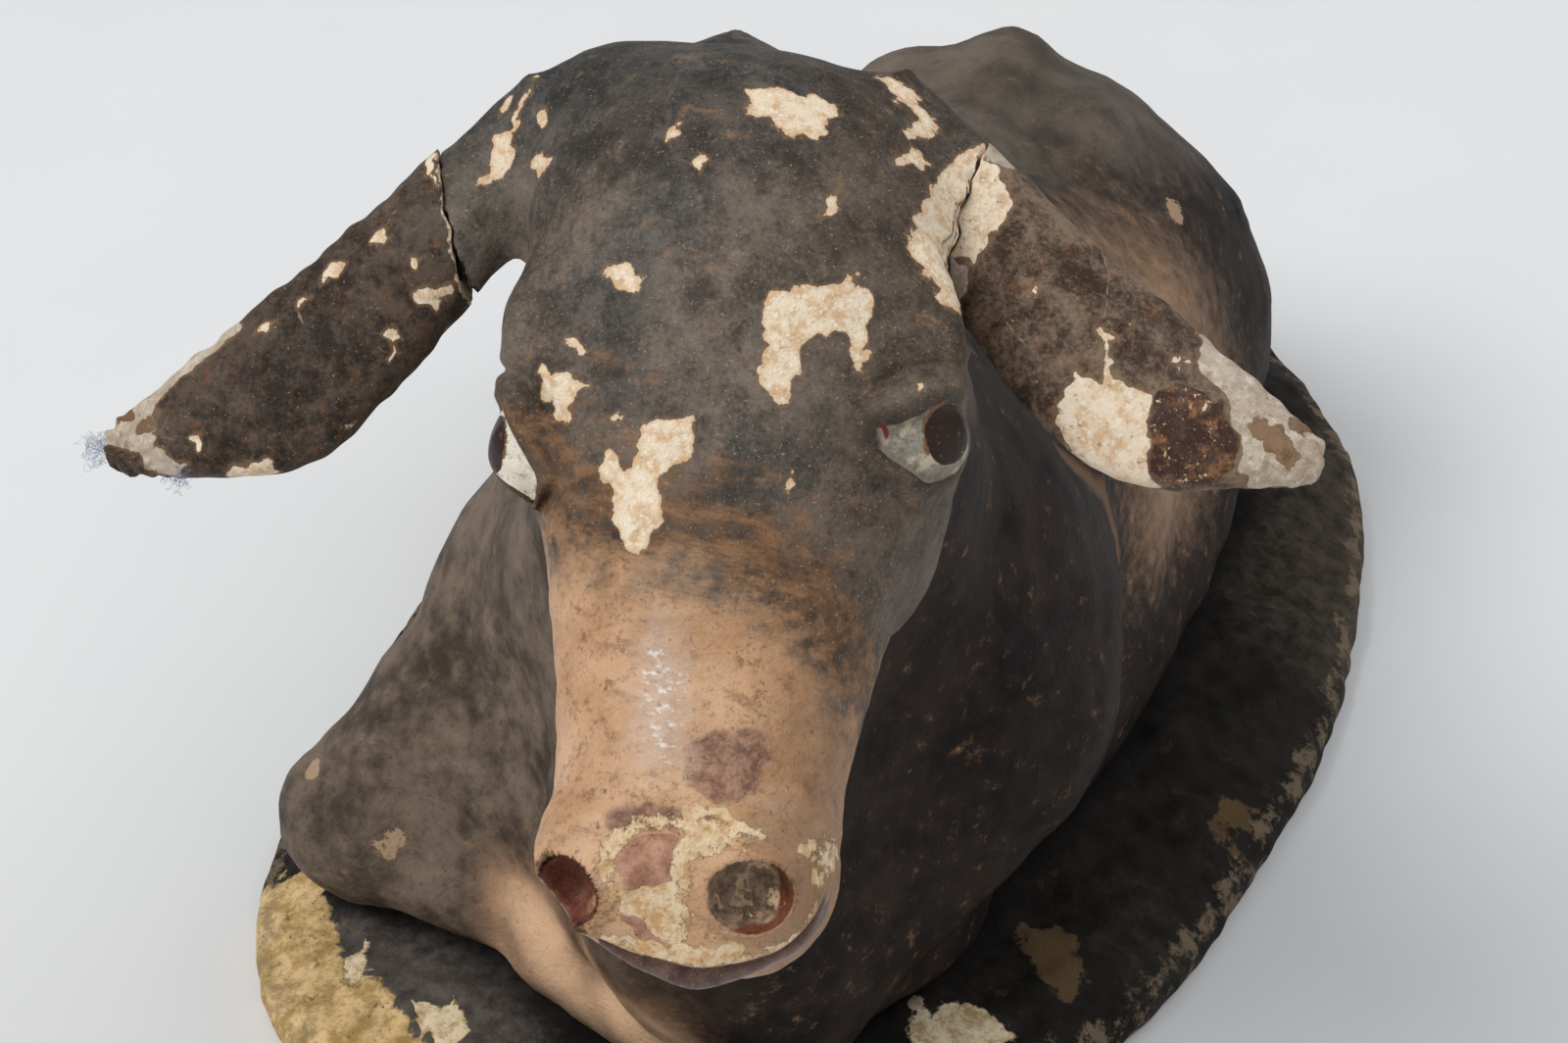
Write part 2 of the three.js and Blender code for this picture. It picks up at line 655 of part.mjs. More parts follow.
const figure = new THREE.Group();
figure.add(named("mound_base", solidOf(moundGeometry(0, 0)), mossPaint));
figure.add(named("ox", oxSolid(), hide));
figure.add(named("left_ear", earSolid(ears.left), earPaint));
figure.add(named("right_ear", earSolid(ears.right), earPaint));

export default figure;
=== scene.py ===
import bpy
import numpy as np
from mathutils import Matrix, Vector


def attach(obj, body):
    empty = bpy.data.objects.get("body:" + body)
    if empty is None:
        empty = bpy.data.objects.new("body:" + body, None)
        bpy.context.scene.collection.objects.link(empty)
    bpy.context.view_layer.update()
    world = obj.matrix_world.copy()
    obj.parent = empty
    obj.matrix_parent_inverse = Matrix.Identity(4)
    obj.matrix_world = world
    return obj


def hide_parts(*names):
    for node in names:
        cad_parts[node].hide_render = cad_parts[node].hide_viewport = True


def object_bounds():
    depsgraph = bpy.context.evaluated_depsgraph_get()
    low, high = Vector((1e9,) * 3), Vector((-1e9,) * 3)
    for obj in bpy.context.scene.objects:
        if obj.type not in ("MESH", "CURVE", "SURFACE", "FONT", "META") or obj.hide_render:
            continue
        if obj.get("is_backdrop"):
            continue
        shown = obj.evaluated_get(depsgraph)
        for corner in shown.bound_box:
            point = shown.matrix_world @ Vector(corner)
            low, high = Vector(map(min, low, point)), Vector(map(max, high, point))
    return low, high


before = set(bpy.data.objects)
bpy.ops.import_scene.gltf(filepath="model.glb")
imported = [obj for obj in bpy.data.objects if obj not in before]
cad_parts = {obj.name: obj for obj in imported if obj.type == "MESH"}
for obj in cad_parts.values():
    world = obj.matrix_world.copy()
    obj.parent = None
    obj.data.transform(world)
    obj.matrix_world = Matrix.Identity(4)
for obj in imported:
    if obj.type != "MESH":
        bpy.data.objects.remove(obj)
sizes = {"cad": [list(corner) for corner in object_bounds()]}
print("stage: frame loaded")


# Numeric helpers


def smoothMin(a, b, k):
    h = np.maximum(k - np.abs(a - b), 0) / k
    return np.minimum(a, b) - h * h * k / 4


def smoothMax(a, b, k):
    return -smoothMin(-a, -b, k)


def rise(x, low, high):
    s = np.clip((x - low) / (high - low), 0, 1)
    return s * s * (3 - 2 * s)


def bell(x, width):
    return np.exp(-((x / width) ** 2))


# A smooth curve through [place, value] stations.
def profile(stations):
    at, value = np.array(stations, float).T
    count = len(at)
    before, after = np.maximum(np.arange(count) - 1, 0), np.minimum(np.arange(count) + 1, count - 1)
    slope = (value[after] - value[before]) / (at[after] - at[before])

    def read(x):
        x = np.clip(x, at[0], at[-1])
        i = np.clip(np.searchsorted(at, x) - 1, 0, count - 2)
        w = at[i + 1] - at[i]
        s = (x - at[i]) / w
        blend = s * s * (3 - 2 * s)
        ends = slope[i] * w * s * (1 - s) ** 2 - slope[i + 1] * w * s * s * (1 - s)
        return value[i] * (1 - blend) + value[i + 1] * blend + ends

    return read


# Seeded waviness: a sum of sines with random directions, lengths near the given one and a spread near 1.
def waves(p, length, seed):
    rng = np.random.default_rng(seed)
    k = rng.normal(size=(10, 3))
    k *= 2 * np.pi / length / np.linalg.norm(k, axis=1, keepdims=True) * rng.uniform(0.7, 1.5, (10, 1))
    return np.sin(p @ k.T + rng.uniform(0, 6.28, 10)).sum(-1) / 10**0.5


# Rounded forms, each a signed distance near its own surface.
def egg(p, at, radii):
    d = p - np.array(at)
    near = np.sqrt(((d / radii) ** 2).sum(-1))
    steep = np.sqrt(((d / np.array(radii) ** 2) ** 2).sum(-1))
    return near * (near - 1) / np.maximum(steep, 1e-9)


def limb(p, start, end, radii):
    a, b = np.array(start, float), np.array(end, float)
    s = np.clip((p - a) @ (b - a) / ((b - a) @ (b - a)), 0, 1)
    return np.linalg.norm(p - a - s[..., None] * (b - a), axis=-1) - (radii[0] + (radii[1] - radii[0]) * s)


def outlineOf(text):
    return np.array([pair.split() for pair in text.split(",")], float)


# Millimetres inside an outline, negative outside and no lower than -far.
def depthInside(u, v, outline, far=4.0):
    depth = np.full(len(u), -far)
    low, high = outline.min(0) - far, outline.max(0) + far
    near = np.flatnonzero((u > low[0]) & (u < high[0]) & (v > low[1]) & (v < high[1]))
    q = np.stack([u[near], v[near]], -1)
    best, inside = np.full(len(near), far), np.zeros(len(near), bool)
    for a, b in zip(outline, np.roll(outline, -1, axis=0)):
        s = np.clip((q - a) @ (b - a) / max((b - a) @ (b - a), 1e-9), 0, 1)
        best = np.minimum(best, np.linalg.norm(q - a - s[:, None] * (b - a), axis=1))
        if a[1] != b[1]:
            crossing = (a[1] > q[:, 1]) != (b[1] > q[:, 1])
            inside ^= crossing & (q[:, 0] < a[0] + (q[:, 1] - a[1]) / (b[1] - a[1]) * (b[0] - a[0]))
    depth[near] = np.where(inside, best, -best)
    return depth


def deepest(u, v, outlines, far=4.0):
    return np.max([depthInside(u, v, outlineOf(text), far) for text in outlines.values()], axis=0)


# Millimetres from the nearest of some open lines.
def awayFromLines(u, v, lines, far=5.0):
    best = np.full(len(u), far)
    q = np.stack([u, v], -1)
    for text in lines.values():
        line = outlineOf(text)
        for a, b in zip(line[:-1], line[1:]):
            s = np.clip((q - a) @ (b - a) / ((b - a) @ (b - a)), 0, 1)
            best = np.minimum(best, np.linalg.norm(q - a - s[:, None] * (b - a), axis=1))
    return best


# The mound's rim radius every 30 degrees from +X, and how its height falls from the crown to the rim.
moundValues = {
    "crown": 16.0,
    "rim": 6.5,
    "rimRadii": [80, 89, 118, 149, 130, 99, 90, 103, 144, 161, 116, 87],
    "fall": [[0, 1], [0.45, 0.97], [0.7, 0.86], [0.85, 0.66], [0.94, 0.36], [0.98, 0.14], [1, 0]],
    "lumps": 0.7,
}


def rimRadius(angle):
    radii = np.array(moundValues["rimRadii"], float)
    count = len(radii)
    s = (angle / (2 * np.pi) * count) % count
    i = np.floor(s).astype(int)
    s = s - i
    a, b, c, d = (radii[(i + k) % count] for k in (-1, 0, 1, 2))
    return (2 * b + (c - a) * s + (2 * a - 5 * b + 4 * c - d) * s**2 + (3 * b - a - 3 * c + d) * s**3) / 2


def moundTop(x, y):
    share = np.hypot(x, y) / rimRadius(np.arctan2(y, x))
    at, fall = np.array(moundValues["fall"]).T
    return moundValues["rim"] + (moundValues["crown"] - moundValues["rim"]) * np.interp(share, at, fall)


# The head has its own frame: l to the animal's left, t from the poll to the muzzle, n out of the face.
headValues = {
    "at": [25, -168, 167],
    "turn": 14.2,
    "nod": 36.9,
    "tilt": 6.7,
    "eyes": {1: [23.2, 3.5, 9.5, 7.4], -1: [24.7, 3.6, 9.5, 7.5]},
    "nostrils": {1: [7.9, 63.2, 10.2], -1: [-14.6, 62.8, 9.6]},
    "nostrilRadii": {1: [5.1, 4.8, 5], -1: [4.6, 4.6, 5]},
    "nape": [15, -120, 152],
    "waviness": 0.3,
}
turn, nod, tilt = np.radians([headValues["turn"], headValues["nod"], headValues["tilt"]])
faceLine = np.array([np.sin(turn) * np.cos(nod), -np.cos(turn) * np.cos(nod), -np.sin(nod)])
levelLeft = np.array([np.cos(turn), np.sin(turn), 0])
levelUp = np.array([np.sin(turn) * np.sin(nod), -np.cos(turn) * np.sin(nod), np.cos(nod)])
headLeft = levelLeft * np.cos(tilt) + levelUp * np.sin(tilt)
headOut = levelUp * np.cos(tilt) - levelLeft * np.sin(tilt)
headAxes = np.stack([headLeft, faceLine, headOut])
headAt = np.array(headValues["at"], float)

headWidth = profile([[-55, 6], [-52.5, 17], [-48, 24.5], [-40, 29], [-20, 29.4], [-4, 29], [8, 27.4],
                     [20, 23.9], [34, 20.4], [46, 18.9], [56, 19.4], [62, 18.4], [67, 15], [71, 10],
                     [74, 3]])
faceHeight = profile([[-55, 3], [-51, 13], [-44, 20.5], [-30, 26.8], [-12, 28], [4, 25.5], [20, 21.5],
                      [36, 18.6], [50, 17], [60, 14.5], [68, 8], [74, 2]])
jawDepth = profile([[-55, 3], [-49, 13], [-38, 24], [-18, 31], [0, 30], [20, 24], [40, 18], [54, 13.5],
                    [64, 9], [70, 5.5], [74, 2]])
midline = profile([[-55, -2.5], [-38, 0.8], [-20, 1.8], [0, 2.2], [14, 1.5], [32, 0.2], [50, -1.4],
                   [74, -2.9]])
# How far down the face chart the muzzle's end reaches, across it.
chinLine = profile([[-26, 44], [-20.5, 54], [-18, 58], [-15.2, 61.1], [-11.3, 64.1], [-6.9, 66.9],
                    [-1.9, 69.1], [3.7, 69.7], [8.7, 69.1], [12.6, 66.3], [15.4, 62.4], [16.5, 59.1],
                    [18.1, 54.1], [22, 44]])
lipLine = profile([[-22, 9], [-15, 8], [-10.9, 6.7], [-8.2, 5.4], [-3.2, 4.6], [1, 3.8], [5.3, 3.3],
                   [9.1, 3.4], [12.8, 3.8], [16, 4.4], [20, 5]])


def toHead(p):
    return (p - headAt) @ headAxes.T


# A face seen square to a direction between out of the face and along the muzzle: u across, v down.
faceLean = np.radians(18)


def faceChart(h):
    return h[..., 0], h[..., 1] * np.cos(faceLean) - h[..., 2] * np.sin(faceLean)


# The eye's surface unrolled: u towards the muzzle, v from the face round to the skull's side.
def eyeChart(h, side):
    across, along, out, radius = headValues["eyes"][side]
    m = side * (h[..., 0] - midline(h[..., 1]))
    return h[..., 1] - along, radius * np.arctan2(m - across, h[..., 2] - out)


# A place in the middle of each eye's opening, from which its reach is measured.
def eyeMiddle(side):
    return [side * 24 + 2, 3.5, 9.5]


def headForm(h):
    l, level, n = h[..., 0], h[..., 1], h[..., 2]
    t = level - 0.13 * np.clip(l - 2, -30, 30) * np.clip((-12 - level) / 30, 0, 1)
    along = np.clip(t, -54.3, 73)
    width = headWidth(along)
    jaw = jawDepth(along)
    depth = np.where(n > 0, faceHeight(along), jaw)
    pinch = 0.3 + 0.18 * np.clip((t - 35) / 25, 0, 1) - 0.28 * np.clip((t - 58) / 10, 0, 1)
    narrowing = np.where(n < 0, 1 - pinch * np.clip(-n / jaw, 0, 1), 1)
    power = np.where(n > 0, 2.35, 2.2)
    ring = (np.abs((l - midline(t)) / (width * narrowing)) ** power
            + np.abs(n / depth) ** power) ** (1 / power)
    off = (ring - 1) * np.minimum(width, depth)
    return np.hypot(np.maximum(off, 0), t - along) + np.minimum(off, 0)


# Ears: each is a closed leaf glued to a stump on the skull, with its axes in the head's frame.
earValues = {
    "roots": {1: [31.0, -31, 2], -1: [-39.0, -31, 3]},
    "droops": {1: 43, -1: 41},
    "sweep": 7,
    "length": 57.0,
    "halfThickness": 5.2,
    "jointTurn": 14,
    "jointGap": 0.3,
    "cutHalf": [14.5, 12],
}
lowerEdge = profile([[-0.4, 9], [0, 9.6], [0.2, 11.6], [0.4, 13.2], [0.58, 13.4], [0.68, 12], [0.78, 8],
                     [0.9, 1.6], [0.97, -2.6], [1, -4.6]])
upperEdge = profile([[-0.4, -8.8], [0, -8.8], [0.2, -8.6], [0.4, -9], [0.75, -10], [0.9, -10.2],
                     [0.97, -9.4], [1, -7.8]])
earBody = profile([[-0.4, 1.25], [0, 1.2], [0.3, 1.05], [0.7, 0.85], [0.92, 0.6], [1, 0.3]])


def earAxes(side):
    sweep, droop = np.radians(earValues["sweep"]), np.radians(earValues["droops"][side])
    c, s = np.cos(droop), np.sin(droop)
    along = [side * c * np.cos(sweep), s * np.cos(sweep), -np.sin(sweep)]
    return np.array([along, [-side * s, c, 0], [side * c * np.sin(sweep), s * np.sin(sweep), np.cos(sweep)]])


def earPlace(h, side):
    return (h - np.array(earValues["roots"][side])) @ earAxes(side).T


def earStump(h, side):
    s, a, o = np.moveaxis(earPlace(h, side), -1, 0)
    share = s / earValues["length"]
    low, high = lowerEdge(share), upperEdge(share)
    thick = earValues["halfThickness"] * earBody(share)
    ring = (np.hypot((a - (low + high) / 2) / ((low - high) / 2), o / thick) - 1) * thick
    past = np.maximum(np.maximum(s - 12, -20 - s), 0)
    return np.hypot(np.maximum(ring, 0), past) + np.minimum(ring, 0)


# How far a place is past the ear's glue line; the line is ragged, as the cracked glue is.
def pastGlue(h, side):
    turned = np.radians(earValues["jointTurn"])
    normal = np.array([side * np.cos(turned), np.sin(turned), 0])
    ragged = 0.28 * waves(h, 5, 71) + 0.12 * waves(h, 1.8, 72)
    return (h - np.array(earValues["roots"][side])) @ normal + ragged, normal


# The space beyond the glue line, which slants with the ear, as a signed distance.
def beyondGlue(h, side):
    past, normal = pastGlue(h, side)
    along = earAxes(side)[0]
    run = along / (along @ normal)
    edge = np.array([-normal[1], normal[0], 0])
    off = h - np.array(earValues["roots"][side]) - past[..., None] * run
    halfAcross, halfOut = earValues["cutHalf"]
    walls = np.maximum(np.abs(off @ edge) - halfAcross, np.abs(off[..., 2]) - halfOut)
    return np.maximum(np.maximum(-past, walls), past - 36)


# The eye's opening and iris in its own chart, in millimetres.
eyeOutlines = {
    1: "1.4 -1.9, 0.7 -0.3, -0.8 2.1, -2.1 3.4, -3.3 6, -3.2 8.6, -1.5 11, 1.5 12.2, 4 11.4, 5.6 9.4,"
    " 6.3 7, 6.3 5, 5.5 0.8, 4.6 -1.4, 3.7 -2, 2.6 -2",
    -1: "-2.2 4.6, 0.2 3.1, 2.6 1.8, 4.7 0.4, 6.6 -1.1, 7.9 -0.4, 8.4 2, 7.6 5, 6 8, 4 10.5, 1 12,"
    " -1.8 11.4, -3.2 8.6, -3.2 6",
}
irises = {1: [0.4, 6.9, 3.7], -1: [0.9, 8.4, 3.8]}
wrinkles = {
    "templeA": "19.8 -26, 21.7 -23.3, 20.3 -20.9, 21.4 -18.4",
    "templeB": "16.4 -29.1, 19.1 -26.5, 22.9 -26.1",
    "templeC": "22.6 -22.5, 25.6 -19.8, 26.8 -15.8",
    "templeRight": "-26.4 -16, -23.8 -13.2, -23.2 -9.8",
}


# Height in millimetres of the modelling above the plain head: lids, folds, lips, rims and unevenness.
def headRelief(h):
    l, t, n = h[..., 0], h[..., 1], h[..., 2]
    high = headValues["waviness"] * (waves(h, 24, 11) + 0.4 * waves(h, 9, 12) + 0.15 * waves(h, 4, 13))
    for side in (1, -1):
        near = np.flatnonzero(np.linalg.norm(h - eyeMiddle(side), axis=-1) < 22)
        u, v = eyeChart(h[near], side)
        inside = depthInside(u, v, outlineOf(eyeOutlines[side]), 9.0)
        upper = rise(-u, -1.5, 2.5)
        fade = rise(15.5 - np.linalg.norm(h[near] - eyeMiddle(side), axis=-1), 0, 5) * rise(10 - v, 0, 5)
        lid = (0.75 + 0.35 * upper) * bell(inside + 1.2, 1.05) + 0.9 * upper * bell(inside + 2.9, 1.7)
        crease = 1.1 * upper * bell(inside + 5.1, 0.9) + 0.5 * (1 - upper) * bell(inside + 3.4, 0.9)
        ball = -0.35 * rise(inside, -0.4, 0.4) + 0.25 * rise(inside, 1.5, 3.5)
        high[near] += fade * (lid - crease + ball)
    mouth = rise(t, 56, 62) * rise(l, -15, -10) * rise(-l, -18, -14)
    below = lipLine(l) - n
    lips = 0.45 * bell(below - 2.2, 1.3) + 0.3 * bell(below + 1.3, 0.9)
    high += mouth * (-0.95 * bell(below - 0.1, 0.5) + lips)
    for side in (1, -1):
        away = egg(h, headValues["nostrils"][side], headValues["nostrilRadii"][side])
        high += 0.5 * bell(away - 0.7, 0.8) * rise(n, 1, 4)
    u, v = faceChart(h)
    front = np.flatnonzero((n > 4) & (v < 0) & (np.abs(l) < 32))
    high[front] -= 0.2 * bell(awayFromLines(u[front], v[front], wrinkles, 3.0), 0.45)
    high += 0.95 * bell(np.linalg.norm(h - [5.9, 46.9, 16.7], axis=-1), 1.25)
    return high


def headField(h, fine):
    l, t, n = h[..., 0], h[..., 1], h[..., 2]
    m = l - midline(t)
    q = np.stack([np.abs(m), t, n], -1)
    f = headForm(h)
    f = smoothMin(f, egg(q, [16, 5, -15], [9, 18, 12]), 8)
    f = smoothMin(f, egg(np.stack([m, t, n], -1), [6, 58.5, -6], [12.5, 12.5, 5.8]), 3)
    f = smoothMin(f, egg(q, [11.2, 60, 5], [7, 8.5, 8.5]), 5)
    f = smoothMin(f, egg(q, [23.5, -8, 15], [7, 12, 5.5]), 5)
    balls = [egg(q, headValues["eyes"][side][:3], [headValues["eyes"][side][3]] * 3) for side in (1, -1)]
    f = smoothMin(f, np.where(m < 0, balls[1], balls[0]), 2)
    f = smoothMin(f, np.where(l < 0, earStump(h, -1), earStump(h, 1)), 5)
    across, down = faceChart(h)
    f = np.where(t > 40, smoothMax(f, down - chinLine(across), 2), f)
    nostrils = [egg(h, headValues["nostrils"][side], headValues["nostrilRadii"][side]) for side in (1, -1)]
    f = smoothMax(f, -np.where(m < 0, nostrils[1], nostrils[0]), 1.8)
    if fine:
        near = np.flatnonzero(f < 4)
        f[near] -= headRelief(h[near])
    return f


# The body and legs: named rounded forms in millimetres, z above the mound's crown, each with its blend.
eggs = {
    "chest": ([0, -70, 46], [47, 50, 54], 1),
    "barrel": ([2, -12, 40], [48, 82, 52], 22),
    "belly": ([2, -4, 12], [51, 94, 32], 10),
    "rump": ([4, 43, 36], [46, 54, 52], 16),
    "withers": ([2, -66, 84], [20, 36, 20], 16),
    "brisket": ([4, -108, 32], [27, 26, 38], 16),
    "leftShoulder": ([33, -68, 46], [23, 30, 40], 7),
    "rightShoulder": ([-35, -72, 45], [22, 28, 27], 8),
    "leftHaunch": ([32, 49, 28], [21, 39, 42], 8),
    "rightHaunch": ([-28, 56, 30], [25, 44, 44], 8),
    "rightHip": ([-14, 46, 82], [8, 9, 6], 8),
    "leftHip": ([20, 40, 82], [8, 10, 6], 8),
    "backbone": ([3, -8, 84], [6, 78, 7], 10),
}
limbs = {
    "neck": ([18, -137, 157], [2, -82, 74], [24, 39], 16),
    "nape": ([15, -121, 149], [2, -62, 94], [13.5, 18], 10),
    "throat": ([22, -148, 138], [6, -118, 46], [17, 21], 14),
    "dewlap": ([21, -150, 124], [6, -127, 32], [11, 15], 14),
    "rightUpperArm": ([-38, -78, 44], [-64, -99, 15], [17, 13], 8),
    "rightElbow": ([-48, -88, 26], [-14, -106, 24], [15, 15], 9),
    "rightCannon": ([-64, -99, 12], [-28, -109, 9], [11.5, 9.5], 7),
    "rightHoof": ([-24, -111, 6], [-4, -118, 5], [10.5, 10.5], 3),
    "leftUpperArm": ([34, -78, 42], [16, -120, 17], [19, 14.5], 12),
    "leftCannon": ([17, -122, 10], [30, -82, 5], [10, 9], 7),
    "rightThigh": ([-40, 60, 34], [-58, 26, 22], [20, 15], 12),
    "rightShank": ([-56, 28, 18], [-65, 82, 9], [13, 11], 8),
    "rightHindCannon": ([-67, 82, 7], [-72, 38, 4], [10.5, 9.5], 5),
    "rightHindHoof": ([-72, 32, 3], [-70, 16, 2], [10.5, 11], 3),
    "leftThigh": ([32, 52, 34], [41, 14, 14], [21, 13], 10),
    "tailRoot": ([3, 84, 62], [-6, 100, 34], [8, 6.5], 7),
    "tail": ([-6, 100, 34], [-38, 94, 18], [6.5, 6], 4),
    "tailTuft": ([-38, 94, 16], [-58, 95, 5], [6.5, 9], 5),
}


# The ox as one field: rounded forms with soft blends, the head, the unevenness, the cuts at mound and ears.
def oxField(p, fine=True):
    q = p - [0, 0, moundValues["crown"]]
    f = np.full(len(p), 1e3)
    for at, radii, blend in eggs.values():
        f = smoothMin(f, egg(q, at, radii), blend)
    for start, end, radii, blend in limbs.values():
        f = smoothMin(f, limb(q, start, end, radii), blend)
    if fine:
        calm = rise(np.linalg.norm(q - headValues["nape"], axis=-1), 30, 75)
        f = f - calm * (0.9 * waves(q, 48, 21) + 0.35 * waves(q, 17, 22)) - 0.12 * waves(q, 7, 23)
    h = toHead(p)
    near = np.flatnonzero(np.linalg.norm(h, axis=-1) < 110)
    f[near] = smoothMin(f[near], headField(h[near], fine), 9)
    f = smoothMax(f, moundTop(p[:, 0], p[:, 1]) + 0.3 - p[:, 2], 1.0)
    for side in (1, -1):
        f[near] = smoothMax(f[near], -beyondGlue(h[near], side), 0.5)
    return f


# A closed skin on a field's zero surface: one vertex for each cell of a cubic grid that the surface crosses.
def skin(field, low, high, step):
    axes = [np.arange(a, b + step, step) for a, b in zip(low, high)]
    shape = tuple(len(axis) for axis in axes)
    grid = np.stack(np.meshgrid(*axes, indexing="ij"), -1)
    value = field(grid.reshape(-1, 3)).reshape(shape)
    openPinches(value)
    inside = value < 0
    cells = tuple(count - 1 for count in shape)
    total, crossings = np.zeros(cells + (3,)), np.zeros(cells)
    corner = lambda offset: tuple(slice(o, o + c) for o, c in zip(offset, cells))
    for axis in range(3):
        others = [k for k in range(3) if k != axis]
        for i in (0, 1):
            for j in (0, 1):
                start = [0, 0, 0]
                start[others[0]], start[others[1]] = i, j
                end = list(start)
                end[axis] = 1
                a, b = value[corner(start)], value[corner(end)]
                hit = (a < 0) != (b < 0)
                share = np.where(hit, a / np.where(hit, a - b, 1), 0)
                along = grid[corner(end)] - grid[corner(start)]
                total += hit[..., None] * (grid[corner(start)] + share[..., None] * along)
                crossings += hit
    used = crossings > 0
    number = np.full(cells, -1)
    number[used] = np.arange(used.sum())
    points = total[used] / crossings[used][:, None]
    faces = []
    for axis in range(3):
        u, v = (axis + 1) % 3, (axis + 2) % 3
        lower = [slice(1, c) for c in cells]
        upper = list(lower)
        lower[axis], upper[axis] = slice(0, cells[axis]), slice(1, cells[axis] + 1)
        a, b = inside[tuple(lower)], inside[tuple(upper)]
        at = np.argwhere(a != b)
        at += [0 if k == axis else 1 for k in range(3)]
        flip = b[a != b]
        around = []
        for du, dv in ((-1, -1), (0, -1), (0, 0), (-1, 0)):
            shifted = at.copy()
            shifted[:, u] += du
            shifted[:, v] += dv
            around.append(number[tuple(shifted.T)])
        quad = np.stack(around, 1)
        quad[flip] = quad[flip][:, ::-1]
        faces += [quad[:, [0, 1, 2]], quad[:, [0, 2, 3]]]
    return points, np.concatenate(faces)


# Where the skin would touch itself between two diagonal grid points, the place between them is filled.
def openPinches(value):
    filled = True
    while filled:
        filled = False
        for u, v in ((0, 1), (0, 2), (1, 2)):
            cut = [[slice(None)] * 3 for _ in range(4)]
            for k in range(4):
                cut[k][u] = slice(1, None) if k & 1 else slice(0, -1)
                cut[k][v] = slice(1, None) if k & 2 else slice(0, -1)
            a, b, c, d = (value[tuple(one)] for one in cut)
            odd = ((a < 0) == (d < 0)) & ((b < 0) == (c < 0)) & ((a < 0) != (b < 0))
            if odd.any():
                filled = True
                for one, two in ((a, d), (b, c)):
                    pick = odd & (one > 0)
                    one[pick & (one <= two)] = -0.01
                    two[pick & (two < one)] = -0.01


# Every edge longer than its place asks for is split in two, and its triangles with it.
def splitLong(points, faces, longest):
    pairs = np.sort(faces[:, [0, 1, 1, 2, 2, 0]].reshape(-1, 2), axis=1)
    keys, index = np.unique(pairs[:, 0] * len(points) + pairs[:, 1], return_inverse=True)
    ends = points[np.stack([keys // len(points), keys % len(points)], 1)]
    middle = ends.mean(1)
    cut = np.linalg.norm(ends[:, 0] - ends[:, 1], axis=1) > longest(middle)
    number = np.full(len(keys), -1)
    number[cut] = len(points) + np.arange(cut.sum())
    points = np.concatenate([points, middle[cut]])
    new = number[index.reshape(-1, 3)]
    count = (new >= 0).sum(1)

    def turned(chosen, first):
        order = (first[:, None] + np.arange(3)) % 3
        return np.take_along_axis(faces[chosen], order, 1).T, np.take_along_axis(new[chosen], order, 1).T

    out = [faces[count == 0]]
    one = count == 1
    (a, b, c), (m, _, _) = turned(one, (new[one] >= 0).argmax(1))
    out += [np.stack([a, m, c], 1), np.stack([m, b, c], 1)]
    two = count == 2
    (a, b, c), (m, k, _) = turned(two, ((new[two] < 0).argmax(1) + 1) % 3)
    out += [np.stack([m, b, k], 1), np.stack([a, m, k], 1), np.stack([a, k, c], 1)]
    three = count == 3
    (a, b, c), (m, k, j) = faces[three].T, new[three].T
    out += [np.stack(corners, 1) for corners in ((a, m, j), (m, b, k), (j, k, c), (m, k, j))]
    return points, np.concatenate(out)


def slopeOf(field, points, f):
    h = 0.03
    return np.stack([(field(points + h * np.eye(3)[axis]) - f) / h for axis in range(3)], 1)


def ontoSurface(field, points, steps=2):
    for _ in range(steps):
        f = field(points)
        slope = slopeOf(field, points, f)
        reach = np.clip(f / ((slope**2).sum(1) + 1e-6), -1.2, 1.2)
        points = points - slope * reach[:, None]
    return points


def evened(field, points, faces, rounds):
    pairs = np.concatenate([faces[:, [0, 1]], faces[:, [1, 2]], faces[:, [2, 0]]])
    for _ in range(rounds):
        count = np.bincount(pairs[:, 0], minlength=len(points)) + 1
        total = [np.bincount(pairs[:, 0], points[pairs[:, 1], k], minlength=len(points)) for k in range(3)]
        points = points + 0.5 * ((np.stack(total, 1) + points) / count[:, None] - points)
        points = ontoSurface(field, points, 1)
    return points


meshValues = {"grid": 4.0, "head": 0.85, "body": 2.5, "eyes": 0.5, "muzzle": 0.62, "joints": 0.55}


def edgeLength(p):
    h = toHead(p)
    beyond = np.maximum(np.linalg.norm(h / [34, 64, 32], axis=1) - 1, 0) * 36
    under = np.clip(-h[:, 2] - 4, 0, 20) * 0.04
    want = np.minimum(meshValues["head"] + 0.03 * beyond + under, meshValues["body"])
    muzzle = (h[:, 1] > 52) & (h[:, 2] > -4) & (beyond < 8)
    want = np.where(muzzle, meshValues["muzzle"], want)
    for side in (1, -1):
        eye = np.linalg.norm(h - [side * 24 + 2, 3.5, 10.5], axis=1)
        want = np.where((eye < 13) & (h[:, 2] > 2), meshValues["eyes"], want)
        past, _ = pastGlue(h, side)
        close = (np.abs(past) < 3) & (np.linalg.norm(h - earValues["roots"][side], axis=1) < 20)
        want = np.where(close, meshValues["joints"], want)
    return want


def oxSurface():
    points, faces = skin(oxField, (-98, -250, -2), (76, 128, 226), meshValues["grid"])
    points = evened(oxField, points, faces, 3)
    for level in range(6):
        before = len(points)
        points, faces = splitLong(points, faces, lambda middle: 1.38 * edgeLength(middle))
        points = evened(oxField, points, faces, 2)
        print(f"stage: ox skin level {level}, {len(faces)} triangles")
        if len(points) < before * 1.02:
            break
    return ontoSurface(oxField, points, 2), faces


